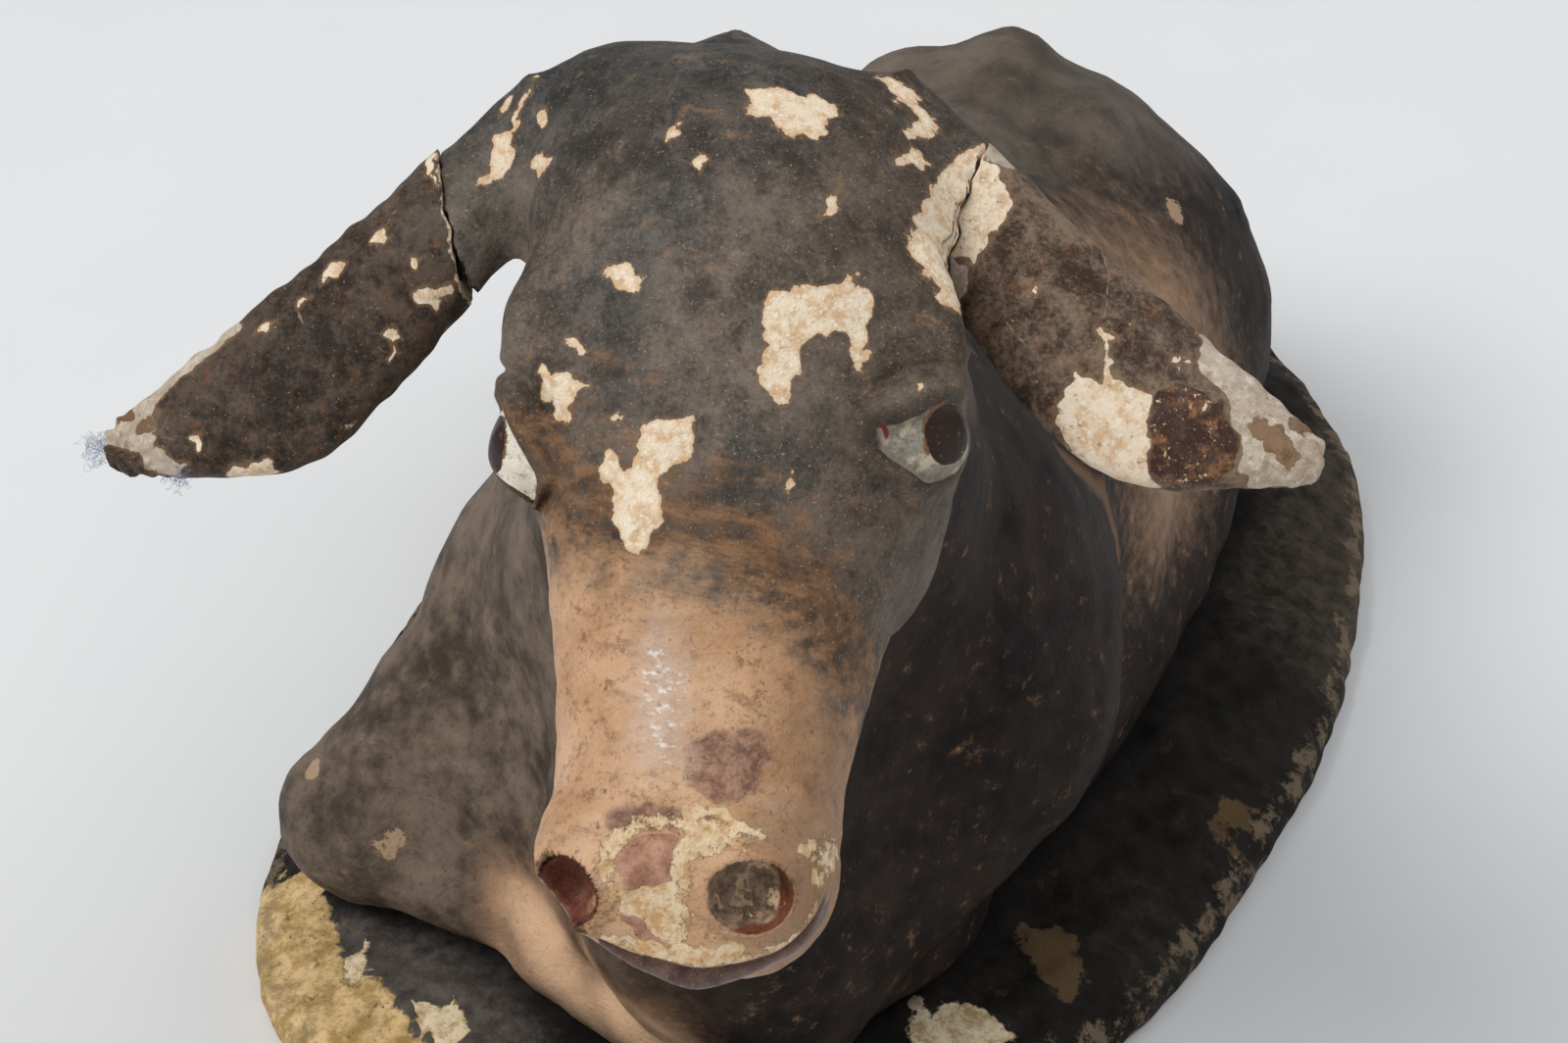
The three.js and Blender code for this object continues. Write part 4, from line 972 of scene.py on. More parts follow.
    # Paint lost down to the gesso, with stained edges.
    spots = (paint.attribute("spots") + paint.noise(5, 5.0, 0.7) * 9.0).rise(0.2, 0.7)
    small = paint.noise(1.9, 5.0, 0.7, shift=11.0) + paint.attribute("warm") * 0.02
    small = small.rise(0.25, 0.27) * onHead
    edgeDistance = paint.attribute("flakes") + ragged * 0.85
    flakes = edgeDistance.rise(-0.04, 0.05)
    losses = flakes.top(small * 0.9)
    colour = paint.mix(edgeDistance.rise(-0.5, -0.03) * 0.45, colour, (0.3, 0.17, 0.085))
    gesso = paint.mix(paint.noise(2.3, 6.0, 0.66).rise(-0.06, 0.12), (0.9, 0.745, 0.55), (0.72, 0.49, 0.29))
    gesso = paint.mix(paint.noise(0.9, 5.0, 0.7, shift=2.0).rise(0.0, 0.13) * 0.85, gesso, (0.95, 0.86, 0.73))
    gesso = paint.mix((1 - edgeDistance.rise(0.0, 0.8)) * 0.5, gesso, (0.66, 0.4, 0.2))
    gesso = paint.mix(paint.noise(1.2, 5.0, 0.75, shift=14.0).rise(0.12, 0.2) * 0.6, gesso, (0.4, 0.22, 0.11))
    colour = paint.mix(losses, colour, gesso)
    colour = paint.mix(spots * 0.8 * (1 - flakes), colour, (0.5, 0.34, 0.21))
    craze = (1 - paint.plates(7).rise(0.004, 0.014)) * paint.noise(9, 3.0, shift=5.0).rise(0.1, 0.2)
    line = 1 - (paint.attribute("crack") + paint.noise(0.9, 4.0, 0.7) * 0.5).rise(0.05, 0.16)
    lines = (craze * 0.3).top(line * 0.6) * (1 - losses) * onHead
    colour = paint.mix(lines, colour, (0.33, 0.21, 0.125))
    # The eyes: a dirty white with brush marks, painted much brighter in the eye on the animal's right as
    # painted light, a dark iris with a worn rim, red in the inner corners.
    white = (paint.attribute("white") + paint.noise(1.3, 4.0) * 0.35).rise(-0.05, 0.1)
    colour = paint.mix((paint.attribute("white") + fine).rise(-2.2, 0.0) * 0.6, colour, (0.035, 0.026, 0.02))
    strokes = paint.noise(1.5, 6.0, 0.72, (0.6, 1.5, 1.5))
    whiteTone = paint.between(strokes * 3.0, (0.16, 0.15, 0.12), (0.4, 0.37, 0.295))
    whiteTone = paint.mix(paint.noise(2.6, 3.0, shift=6.0).rise(0.02, 0.12) * 0.7, whiteTone,
                          (0.66, 0.58, 0.41))
    whiteTone = paint.mix((1 - paint.attribute("white").rise(0.1, 1.1)) * 0.55, whiteTone, (0.2, 0.15, 0.11))
    # Painted light: the white of the eye on the animal's right made much brighter.
    whiteTone = paint.mix(paint.attribute("clear") * 0.9, whiteTone, (0.88, 0.81, 0.67))
    whiteTone = paint.mix((strokes + tooth * 0.5).rise(0.03, 0.16) * 0.6, whiteTone, (0.13, 0.115, 0.09))
    colour = paint.mix(white, colour, whiteTone)
    iris = (paint.attribute("iris") + paint.noise(1.0, 3.0) * 0.25).rise(-0.05, 0.08)
    irisTone = paint.mix(paint.noise(1.5, 5.0, 0.7, shift=4.0).rise(0.1, 0.16), (0.03, 0.016, 0.012),
                         (0.33, 0.17, 0.085))
    colour = paint.mix(iris, colour, irisTone)
    strip = (paint.attribute("strip") + paint.noise(1.0, 4.0) * 0.9).rise(0.1, 0.25)
    colour = paint.mix(strip, colour, (0.24, 0.11, 0.045))
    colour = paint.mix((paint.attribute("tear") + fine * 0.4).rise(0.1, 0.5), colour, (0.2, 0.035, 0.025))
    # Dust and fine specks.
    dust = (paint.noise(5, 6.0, 0.78, shift=9.0) + paint.noise(24, 3.0, shift=1.0) * 0.8).rise(0.02, 0.3)
    bare = 1 - losses.top(white).top(cream)
    colour = paint.mix(dust * 0.28 * bare * onHead, colour, (0.3, 0.255, 0.21))
    speck = paint.noise(0.38, 2.0, shift=8.0).rise(0.14, 0.22) * bare
    colour = paint.mix(speck * 0.6 * onHead, colour, (0.5, 0.35, 0.22))
    dot = paint.noise(1.1, 3.0, 0.6, shift=16.0).rise(0.24, 0.28) * bare
    colour = paint.mix(dot * 0.8 * onHead, colour, (0.72, 0.5, 0.29))
    pit = paint.noise(0.6, 3.0, shift=12.0).rise(0.12, 0.24) * bare
    colour = paint.mix(pit * 0.5, colour, (0.025, 0.016, 0.011))
    rough = (fine * 0.25 + 0.58).top(losses * 0.86) - tan * 0.08 - scuffAndGlint * 0.2 - iris * 0.25 - lip * 0.2
    height = losses * -0.34 + edgeDistance.rise(-0.7, -0.1) * 0.1 + fine * 0.34 + grain * 0.13 - lines * 0.14
    height = height + cream * 0.16 + paint.noise(0.8, 5.0, 0.7) * cream * 0.5 + maroon * 0.06 - pit * 0.07
    height = height + paint.noise(1.3, 6.0, 0.72) * 0.3 + paint.noise(0.5, 3.0) * losses * 0.22 + streak * 0.2
    height = height + scuffAndGlint * 0.05 + wrinkle * paint.attribute("scuffAndGlint") * 0.5 + tooth * 0.26
    height = height - white * 0.1 + iris * 0.12 + strip * 0.1
    coat = tan * 0.12 + onHead * 0.08 + paint.attribute("scuffAndGlint") * 0.3 + iris * 0.06 + lip * 0.25
    return paint.finish(colour, rough, height, coat)


hide = hidePaint()
points, faces = oxSurface()
field = oxField(points)
normals = slopeOf(oxField, points, field)
normals /= np.linalg.norm(normals, axis=1, keepdims=True)
pieceFrom("oxFigure", points, faces, oxMarks(points, normals), hide, "ox", normals)
print("stage: ox built")


# Paint losses and marks on the ears, in millimetres along the ear and across it.
earMarks = {
    1: {
        "flakes": {
            "root": "-3.2 -3.8, -3.2 -5.2, -1.4 -6.6, 0.3 -5.5, 1.9 -5.3, 4 -4.2, 5 -2.2, 5.1 -0.1,"
            " 5.4 2.2, 5.8 4.2, 6.2 6, 5.1 5.5, 3.7 6.6, 1 7.5, 0.1 6.5, -0.3 5, -2.3 4.2",
            "chipA": "23.5 -0.1, 24.5 -0.5, 26.6 -0.2, 25.7 0.7, 24.5 1",
            "chipB": "13.4 2.2, 14.1 1.8, 15.5 2.5, 14.6 3",
            "white": "26.9 10.1, 26.5 8.2, 26 6.4, 27.4 5.9, 29.3 5.3, 29.9 3.9, 31.1 3.1, 34.9 1.7,"
            " 36.8 4, 38.6 6.1, 40.6 7.9, 41.7 9.2, 42.8 9.1, 44.4 8.7, 43 14, 40.4 15, 38.4 15,"
            " 36.2 15, 33.5 14, 30.7 13.4, 28.9 12.6, 27.5 11.4",
            "tongue": "29.3 5.3, 27.8 3.2, 26.2 1.2, 26.5 0.8, 28.5 2.6, 30.5 3.9",
            "speckA": "33.5 -4.1, 34 -4.7, 34.7 -4.1, 34.3 -3.4",
            "speckB": "34.5 -4.8, 35 -5.2, 35.6 -4.4",
            "speckC": "40.5 -1.6, 41 -2.6, 41.6 -2.1, 41.3 -1.2",
        },
        "worn": {
            "tip": "32.3 -9.6, 33.6 -10.8, 42.3 -12, 45.9 -12.5, 48.7 -13, 53 -12, 57 -8.8, 58 -6,"
            " 57 -2, 53 0.8, 49.7 0.9, 47.6 -2.2, 44.6 -2.8, 42.1 -5.1, 38.2 -5, 36.1 -5.8, 33.8 -8.9",
            "rootTan": "1 7.5, 3.7 6.6, 6 6.1, 7.6 7.5, 8 9.4, 8.4 11, 6.3 10.4, 4.2 9.7, 2.7 8.9",
            "rootTop": "-5.6 -7.7, -4.5 -9.2, 0.1 -10, 0 -7.4, -2.2 -6.3, -3.3 -5.4",
            "edge": "8.3 -10.7, 15.9 -9.8, 15.7 -9.1, 8.6 -9.4",
        },
        "remains": {
            "a": "46.9 -4.1, 47 -5.6, 48 -6.3, 49 -5.6, 49.1 -4.2",
            "b": "48.7 -5.2, 49.5 -7.1, 51.2 -6.6, 53.6 -5.6, 54.2 -4.3, 52.3 -4.2, 50.4 -4.1",
            "end": "50 -9, 49.9 -11.5, 51.7 -10.6, 52.6 -8.8, 51.2 -8",
        },
        "gloss": {
            "gloss": "34.9 1.4, 36.7 -1.7, 38.6 -3.2, 40.9 -3.4, 43.8 -3.6, 47.1 -2.2, 49 0.9, 48.6 3.5,"
            " 45.4 8.7, 44.2 9.5, 41.7 9.2, 40.6 7.9, 38.6 6.1, 37 3.9",
        },
        "cracks": {
            "mid": "8.1 0.3, 11.8 1.3, 14.4 0.7, 18.4 -0.5, 21.7 -1.2, 23.9 -1.3, 26.1 -0.7, 31.7 -1.6,"
            " 33.7 -2.2",
            "low": "14.3 7.9, 18.7 8.4, 23.1 8.2, 26.5 8.2",
            "cross": "16 -8.3, 19.5 -6.3, 23.1 -1.8, 25.4 -0.7, 26.3 1.2",
        },
    },
    -1: {
        "flakes": {
            "jointA": "-2.2 0.6, -2.7 1.4, -1.9 2.8, -0.8 5, 0.4 5.7, 0.5 4.5, -0.4 2.7",
            "jointC": "1.8 6.8, 0.4 7.2, 1.8 8.2, 3.5 9.1, 4.1 9.9, 4.9 9.3, 4.3 8.7, 3.2 8.4, 2.8 7.4",
            "jointTop": "-2.3 -7.7, -3.8 -7.9, -4.1 -6.8, -3.4 -6.6, -2 -4.9, -1.8 -3.4, -1.7 -2.1,"
            " -1.2 -2.8, -1.1 -5",
            "triangle": "9.6 -3.8, 7.4 -3.3, 8.3 -1.5, 8.9 -1.1, 10.5 -2.9",
            "slip": "17.9 -9, 16.3 -9.1, 17.2 -7.8",
            "hook": "18.1 -5.1, 15.7 -4.7, 14.9 -3.1, 17 -2.6, 18.1 -3.9, 19.5 -3.2",
            "dot": "7.3 3.1, 6.6 3.7, 7.9 4.8, 8.1 3.6",
            "star": "10.1 6.5, 8.5 7.2, 7.8 8.3, 5.9 8.7, 6.7 9.5, 8.4 9.4, 9.8 9.9, 9.8 9, 10.7 8.2,"
            " 10.5 7.3",
            "seven": "17.4 7.7, 15.4 7.9, 15.1 8.8, 16 9.2, 17.2 10.9, 18.8 11.3, 17.4 10.3, 16.6 9",
            "dashA": "30.3 -4.6, 28.6 -4.7, 27.3 -4.3, 27.9 -3.7, 29.6 -4",
            "dashB": "23.9 -3.8, 21.6 -3.5, 21.7 -2.8, 23.9 -3",
            "lower": "45.9 7, 44.4 6.5, 42.9 8.2, 39.8 9.6, 40.4 13, 43.5 12, 46.5 9.3",
            "bitA": "46 0.4, 44.6 1, 45.3 2.6, 46.6 2.7",
        },
        "worn": {
            "tipEdge": "31.1 -9.2, 32.7 -11.1, 35.5 -12.6, 37.9 -13, 40.8 -13, 43.8 -13, 46.9 -13,"
            " 50.8 -13.5, 52.7 -13.5, 54.5 -13.5, 58 -12.2, 58 -9.8, 55.1 -6.9, 53.2 -3.6, 50.9 -2.6,"
            " 49.5 -4.2, 47.2 -6.9, 45.4 -7.6, 42.9 -7.9, 39.4 -7.2, 35.6 -6.9, 31.5 -7.2",
            "bottom": "52.9 -3.7, 50.6 -2.2, 49.8 1.1, 48.5 2.8, 51 2.3, 53.8 -1.6",
        },
        "remains": {
            "a": "50.2 -9.6, 51.4 -10.4, 52.4 -9.4, 51.3 -8.2",
            "b": "48.6 -5.8, 50 -6.6, 51.6 -5.4, 50 -4.4",
        },
        "gloss": {"none": "-30 -30, -29 -30, -29 -29"},
        "cracks": {
            "long": "23.1 -10.8, 23.4 -8.6, 23.8 -4, 24.8 0.6, 25.3 4.2",
            "top": "7.4 -3.3, 5.1 -4.2, 3.8 -6",
        },
    },
}


# A ring of the leaf, a flattened oval, at millimetres along from the root and angles about the ear's axis.
def earRing(along, angle):
    share = along / earValues["length"]
    low, high = lowerEdge(share), upperEdge(share)
    thick = earValues["halfThickness"] * earBody(share)
    c, s = np.cos(angle), np.sin(angle)
    squareness = 0.86
    across = (low + high) / 2 + (low - high) / 2 * np.sign(c) * np.abs(c) ** squareness
    return across, thick * np.sign(s) * np.abs(s) ** squareness


def earSurface(side):
    rings, sides, capRings = 150, 128, 7
    angle = np.linspace(0, 2 * np.pi, sides, endpoint=False)
    axes, root = earAxes(side), np.array(earValues["roots"][side])

    def place(along, across, out):
        return root + along[..., None] * axes[0] + across[..., None] * axes[1] + out[..., None] * axes[2]

    # The first ring lies on the glue line, where the ear was cut.
    start = np.zeros(sides)
    for _ in range(12):
        across, out = earRing(start, angle)
        past, normal = pastGlue(place(start, across, out), side)
        start = start + (earValues["jointGap"] - past) / (axes[0] @ normal)
    share = np.linspace(0, 1, rings)[:, None]
    length = earValues["length"] * 1.012
    along = start + (length - start) * (share + 0.06 * np.sin(np.pi * share) ** 2 * share)
    across, out = earRing(np.minimum(along, earValues["length"]), angle[None, :])
    middle = (lowerEdge(along / earValues["length"]) + upperEdge(along / earValues["length"])) / 2
    tip = np.sqrt(np.clip((1 - share) / 0.02, 0, 1))
    across, out = middle + (across - middle) * np.maximum(tip, 0.02), out * np.maximum(tip, 0.02)
    leaf = place(along, across, out)
    # Its edges wander and its faces are uneven, and its end is torn.
    wander = 0.28 * waves(leaf, 12, 41 + side) + 0.13 * waves(leaf, 4.5, 43 + side)
    wander = rise(share, 0.02, 0.12) * wander
    torn = rise(share, 0.8, 1) * 0.5 * waves(leaf, 2.2, 45 + side)
    outward = np.cos(angle)[None, :, None] * axes[1] + np.sin(angle)[None, :, None] * axes[2] * 1.6
    outward /= np.linalg.norm(outward, axis=-1, keepdims=True)
    leaf = leaf + (wander + torn)[..., None] * outward * np.maximum(tip, 0.05)[..., None]
    centre = leaf[0].mean(0)
    shrink = np.linspace(0, 1, capRings + 1)[:-1, None, None]
    cap = centre + (leaf[0] - centre) * (0.04 + 0.96 * shrink)
    grid = np.concatenate([cap, leaf])
    points = np.concatenate([centre[None], grid.reshape(-1, 3), leaf[-1].mean(0)[None]])
    ringCount = len(grid)
    i = np.arange(sides)
    j = (i + 1) % sides
    first = np.stack([np.zeros(sides, int), 1 + j, 1 + i], 1)
    base = 1 + (np.arange(ringCount - 1) * sides)[:, None]
    a, b = (base + i).ravel(), (base + j).ravel()
    quads = np.concatenate([np.stack([a, b, a + sides], 1), np.stack([b, b + sides, a + sides], 1)])
    last = 1 + (ringCount - 1) * sides
    end = np.stack([last + i, last + j, np.full(sides, len(points) - 1)], 1)
    faces = np.concatenate([first, quads, end])
    world = points @ headAxes + headAt
    return world, outwardFaces(world, faces), points


# Turns a closed surface's faces outward.
def outwardFaces(points, faces):
    a, b, c = (points[faces[:, k]] for k in range(3))
    volume = np.einsum("ij,ij->i", a, np.cross(b, c)).sum()
    return faces if volume > 0 else faces[:, ::-1]


def earAttributes(side, h):
    s, a, o = earPlace(h, side).T
    wobble = 0.25 * waves(h, 2.6, 51)
    top = o > -0.6
    marks = {}
    for key in ("flakes", "worn", "remains", "gloss"):
        marks[key] = np.where(top, deepest(s + wobble, a - wobble, earMarks[side][key]), -4.0)
    marks["crack"] = np.where(top, awayFromLines(s + wobble, a + 0.6 * wobble, earMarks[side]["cracks"]), 5.0)
    past, _ = pastGlue(h, side)
    marks["joint"] = past - earValues["jointGap"]
    share = s / earValues["length"]
    half = (lowerEdge(share) - upperEdge(share)) / 2
    marks["rim"] = 1 - np.clip(half - np.abs(a - (lowerEdge(share) + upperEdge(share)) / 2), 0, 6) / 6
    marks["tip"] = rise(share, 0.72, 1)
    marks["left"] = np.full(len(h), float(side > 0))
    return marks


def earPaint(name):
    paint = Paint(name)
    ragged = paint.cells(1.6) * 1.0 + paint.noise(0.8, 5.0, 0.7) * 1.3
    broad, fine = paint.noise(13, 5.0, 0.6), paint.noise(3.2, 6.0, 0.68)
    left = paint.attribute("left")
    tooth = paint.noise(0.7, 4.0, 0.75, shift=15.0)
    spread = (broad * 2.0 + fine * 2.2 + tooth * 1.6 + 0.5).rise(0, 1)
    cool = paint.mix(spread, (0.024, 0.016, 0.012), (0.112, 0.08, 0.058))
    warm = paint.mix(spread, (0.05, 0.03, 0.02), (0.26, 0.182, 0.126))
    colour = paint.mix(left, cool, warm)
    rust = paint.noise(2.8, 6.0, 0.8, shift=7.0).rise(0.05, 0.2)
    colour = paint.mix(rust * 0.7, colour, (0.24, 0.1, 0.04))
    gloss = (paint.attribute("gloss") + ragged * 0.5).rise(-0.1, 0.1)
    glossTone = paint.mix(paint.noise(2.2, 6.0, 0.74).rise(-0.02, 0.16), (0.05, 0.02, 0.013),
                          (0.27, 0.12, 0.05))
    glossTone = paint.mix(paint.noise(0.9, 5.0, 0.7, shift=3.0).rise(0.11, 0.15), glossTone,
                          (0.78, 0.6, 0.38))
    colour = paint.mix(gloss, colour, glossTone)
    edgeWear = paint.attribute("rim") * 0.4 + paint.noise(4.5, 6.0, 0.78, shift=3.0) * 1.8 - 0.56
    edgeWear = edgeWear.rise(0.0, 0.12)
    chips = (paint.noise(1.9, 5.0, 0.66, shift=11.0) + gloss * 0.05).rise(0.245, 0.262)
    craze = (1 - paint.plates(8).rise(0.004, 0.016)) * paint.noise(8, 2.0, shift=5.0).rise(0.1, 0.2)
    line = 1 - (paint.attribute("crack") + paint.noise(0.9, 4.0, 0.7) * 0.5).rise(0.05, 0.16)
    joint = paint.attribute("joint") + ragged * 0.6 + paint.noise(3.0, 4.0, 0.7, shift=2.0) * 2.2 + 0.1
    joint = 1 - joint.rise(0.1, 0.4)
    worn = (paint.attribute("worn") + ragged * 0.6).rise(-0.06, 0.08)
    worn = worn * (1 - (paint.attribute("remains") + ragged * 0.7 + 0.3).rise(-0.1, 0.1))
    flakes = (paint.attribute("flakes") + ragged * 0.5).rise(-0.04, 0.05)
    losses = flakes.top(worn).top(chips).top(joint * 0.85).top(edgeWear * 0.7)
    gesso = paint.mix(paint.noise(2.3, 6.0, 0.66).rise(-0.06, 0.12), (0.87, 0.72, 0.54), (0.7, 0.48, 0.29))
    gesso = paint.mix(paint.noise(0.9, 5.0, 0.7, shift=2.0).rise(0.0, 0.13) * 0.8, gesso, (0.92, 0.82, 0.68))
    wornTone = paint.mix(paint.noise(2.8, 6.0, 0.7).rise(-0.12, 0.12), (0.56, 0.48, 0.39), (0.38, 0.3, 0.225))
    wornTone = paint.mix(paint.noise(1.5, 6.0, 0.75, shift=4.0).rise(0.02, 0.14) * 0.7, wornTone,
                         (0.78, 0.7, 0.59))
    wornTone = paint.mix((paint.attribute("tip") + fine * 1.8).rise(0.8, 1.2) * 0.7, wornTone,
                         (0.3, 0.2, 0.125))
    gesso = paint.mix(worn * 0.85, gesso, wornTone)
    halo = (paint.attribute("flakes").top(paint.attribute("worn")) + ragged * 0.5).rise(-0.7, -0.03) * 0.5
    colour = paint.mix(halo, colour, (0.3, 0.17, 0.085))
    lines = (craze * 0.3).top(line * 0.6) * (1 - losses)
    colour = paint.mix(lines, colour, (0.4, 0.27, 0.17))
    colour = paint.mix(losses, colour, gesso)
    stain = paint.noise(1.3, 6.0, 0.78, shift=13.0).rise(0.1, 0.2) * losses
    colour = paint.mix(stain * 0.6, colour, (0.33, 0.2, 0.11))
    dust = (paint.noise(5, 6.0, 0.78, shift=9.0) + paint.noise(24, 3.0, shift=1.0) * 0.8).rise(0.02, 0.3)
    colour = paint.mix(dust * 0.25 * (1 - losses), colour, (0.27, 0.22, 0.17))
    speck = paint.noise(0.4, 2.0, shift=8.0).rise(0.17, 0.24)
    colour = paint.mix(speck * 0.6 * (1 - losses), colour, (0.5, 0.36, 0.23))
    dot = paint.noise(1.0, 3.0, 0.6, shift=16.0).rise(0.22, 0.26)
    colour = paint.mix(dot * 0.85 * (1 - losses), colour, (0.75, 0.57, 0.36))
    rough = (fine * 0.25 + 0.6).top(losses * 0.88) - gloss * (1 - losses) * 0.3
    height = losses * -0.32 + halo * 0.12 + fine * 0.34 - lines * 0.12 + paint.noise(1.2, 6.0, 0.72) * 0.3
    height = height + tooth * 0.3 + gloss * 0.1 - stain * 0.16
    return paint.finish(colour, rough, height, gloss * 0.25 + 0.06)


earSkin = earPaint("earPaint")
for side, node, name in ((1, "left_ear", "leftEar"), (-1, "right_ear", "rightEar")):
    world, faces, inHead = earSurface(side)
    pieceFrom(name, world, faces, earAttributes(side, inHead), earSkin, node)
print("stage: ears built")


# Loose textile fibres caught at the ends of the right ear: each is a thin tube that wanders from its start.
lintValues = {
    "tufts": [
        {"along": 57.2, "across": -9.0, "out": 0.5, "spread": 1.1, "count": 70, "length": 5.0},
        {"along": 51.2, "across": 3.0, "out": 2.2, "spread": 0.8, "count": 46, "length": 3.6},
        {"along": 49.0, "across": -1.0, "out": 2.6, "spread": 0.9, "count": 10, "length": 3.5},
    ],
    "thickness": 0.02,
}


def lint():
    rng = np.random.default_rng(5)
    axes, root = earAxes(-1), np.array(earValues["roots"][-1])
    steps, sides = 22, 4
    allPoints, allFaces = [], []
    for tuft in lintValues["tufts"]:
        count = tuft["count"]
        start = root + np.array([tuft["along"], tuft["across"], tuft["out"]]) @ axes
        start = start + rng.normal(0, tuft["spread"], (count, 3)) * [1, 1, 0.5]
        heading = rng.normal(size=(count, 3))
        path = [start]
        for _ in range(steps - 1):
            heading = heading + rng.normal(0, 0.6, (count, 3)) + 0.25 * (start - path[-1])
            heading /= np.linalg.norm(heading, axis=1, keepdims=True)
            path.append(path[-1] + heading * tuft["length"] / steps)
        path = np.stack(path, 1)
        along = np.gradient(path, axis=1)
        along /= np.linalg.norm(along, axis=2, keepdims=True)
        sideways = np.cross(along, [0.31, 0.52, 0.8])
        sideways /= np.linalg.norm(sideways, axis=2, keepdims=True)
        upward = np.cross(along, sideways)
        angle = np.arange(sides) * 2 * np.pi / sides
        ring = np.cos(angle)[:, None] * sideways[:, :, None] + np.sin(angle)[:, None] * upward[:, :, None]
        taper = np.sqrt(np.clip(1 - (2 * np.arange(steps) / (steps - 1) - 1) ** 8, 0.02, 1))
        taper = taper[None, :, None, None]
        tube = path[:, :, None] + lintValues["thickness"] * taper * ring
        base = sum(len(block) for block in allPoints)
        allPoints.append((tube.reshape(-1, 3) @ headAxes) + headAt)
        fibre, step, k = np.meshgrid(np.arange(count), np.arange(steps - 1), np.arange(sides), indexing="ij")
        a = base + ((fibre * steps + step) * sides + k).ravel()
        b = base + ((fibre * steps + step) * sides + (k + 1) % sides).ravel()
        allFaces += [np.stack([a, b, b + sides], 1), np.stack([a, b + sides, a + sides], 1)]
        first = base + np.arange(count)[:, None] * steps * sides
        ends = [first, first + (steps - 1) * sides]
        for turned, end in zip((False, True), ends):
            corners = np.concatenate([end + [0, 2, 1], end + [0, 3, 2]])
            allFaces.append(corners[:, ::-1] if turned else corners)
    return np.concatenate(allPoints), np.concatenate(allFaces)


def lintPaint():
    paint = Paint("lintPaint")
    colour = paint.mix(paint.noise(5).rise(-0.1, 0.1), (0.2, 0.27, 0.42), (0.46, 0.47, 0.48))
    return paint.finish(colour, 0.9, paint.noise(0.6) * 0.01)


lintPoints, lintFaces = lint()
pieceFrom("earLint", lintPoints, outwardFaces(lintPoints, lintFaces), {}, lintPaint())
print("stage: lint built")


# The mound: rings run outward over its top, down its side and in under its flat foot.
def moundSurface():
    sides = 420
    angle = np.linspace(0, 2 * np.pi, sides, endpoint=False)
    radius = rimRadius(angle)
    shares = np.concatenate([np.linspace(0.012, 0.8, 64), np.linspace(0.81, 0.995, 30)])
    smoothFall = profile(moundValues["fall"])
    drop = moundValues["crown"] - moundValues["rim"]
    tops = moundValues["rim"] + drop * np.clip(smoothFall(shares), 0, 1)
    x = shares[:, None] * radius * np.cos(angle)
    y = shares[:, None] * radius * np.sin(angle)
    z = np.repeat(tops[:, None], sides, 1)
    top = np.stack([x, y, z], -1)
    flat = top.reshape(-1, 3)
    clear = np.clip(oxField(flat + [0, 0, 0.5], False) / 6, 0, 1)
    lumps = waves(flat, 26, 61) + 0.5 * waves(flat, 10, 62) + 0.25 * waves(flat, 4.5, 63)
    flat[:, 2] += moundValues["lumps"] * clear * lumps
    top = flat.reshape(top.shape)
    rimHeight = top[-1, :, 2]
    down = np.linspace(0, 1, 16)[1:, None]
    height = rimHeight * (1 - down)
    bulge = 0.9 * np.sin(np.pi * np.clip(down, 0, 1)) - 1.3 * down**3
    rim = np.stack([radius * np.cos(angle), radius * np.sin(angle), rimHeight], -1)
    sideRadius = radius * 0.995 + bulge + 0.25 * waves(rim, 9, 64)
    side = np.stack([sideRadius * np.cos(angle), sideRadius * np.sin(angle), height], -1)
    inward = np.array([0.985, 0.95, 0.8, 0.4, 0.02])[:, None]
    foot = np.stack([side[-1, :, 0] * inward, side[-1, :, 1] * inward, np.zeros((5, sides))], -1)
    grid = np.concatenate([top, side, foot])
    points = np.concatenate([[[0, 0, tops[0]]], grid.reshape(-1, 3), [[0, 0, 0]]])
    i = np.arange(sides)
    j = (i + 1) % sides
    base = 1 + (np.arange(len(grid) - 1) * sides)[:, None]
    a, b = (base + i).ravel(), (base + j).ravel()
    last = 1 + (len(grid) - 1) * sides
    faces = np.concatenate([
        np.stack([np.zeros(sides, int), 1 + i, 1 + j], 1),
        np.stack([a, a + sides, b + sides], 1), np.stack([a, b + sides, b], 1),
        np.stack([last + i, np.full(sides, len(points) - 1), last + j], 1),
    ])
    return points, outwardFaces(points, faces)


moundMarks = {
    "green": {
        "frontRight": "-86 -98, -76 -94, -66 -108, -62 -116, -52 -122, -42 -130, -34 -136, -44 -148,"
        " -60 -142, -78 -122",
        "right": "-92 20, -80 14, -78 40, -88 60",
    },
    "ochre": {
        "frontLeft": "44 -74, 50 -72, 58 -82, 56 -88, 48 -84",
        "left": "68 -30, 74 -28, 74 -40, 68 -40",
    },
    "cream": {
        "frontRight": "-64 -112, -60 -110, -56 -117, -59 -121",
        "front": "-45 -125, -40 -122, -34 -128, -40 -134",
        "frontLeft": "32 -100, 40 -96, 50 -100, 48 -108, 36 -110",
    },
}


def moundAttributes(points):
    x, y, z = points.T
    marks = {}
    wobble = 1.2 * waves(points, 9, 65)
    for key, outlines in moundMarks.items():
        marks[key] = np.where(z > 0.5, deepest(x + wobble, y - wobble, outlines, 12.0), -12.0)
    share = np.hypot(x, y) / rimRadius(np.arctan2(y, x))
    marks["rim"] = bell(share - 0.985, 0.035)
    # the distance from the ox, which sets the painted shadow on the mound
    marks["under"] = np.clip(oxField(points, False), -2, 20)
    marks["front"] = rise(-x, 12, 34) * rise(-y, 96, 112)
    marks["pale"] = rise(x, 44, 66) * rise(y, -8, 40)
    return marks


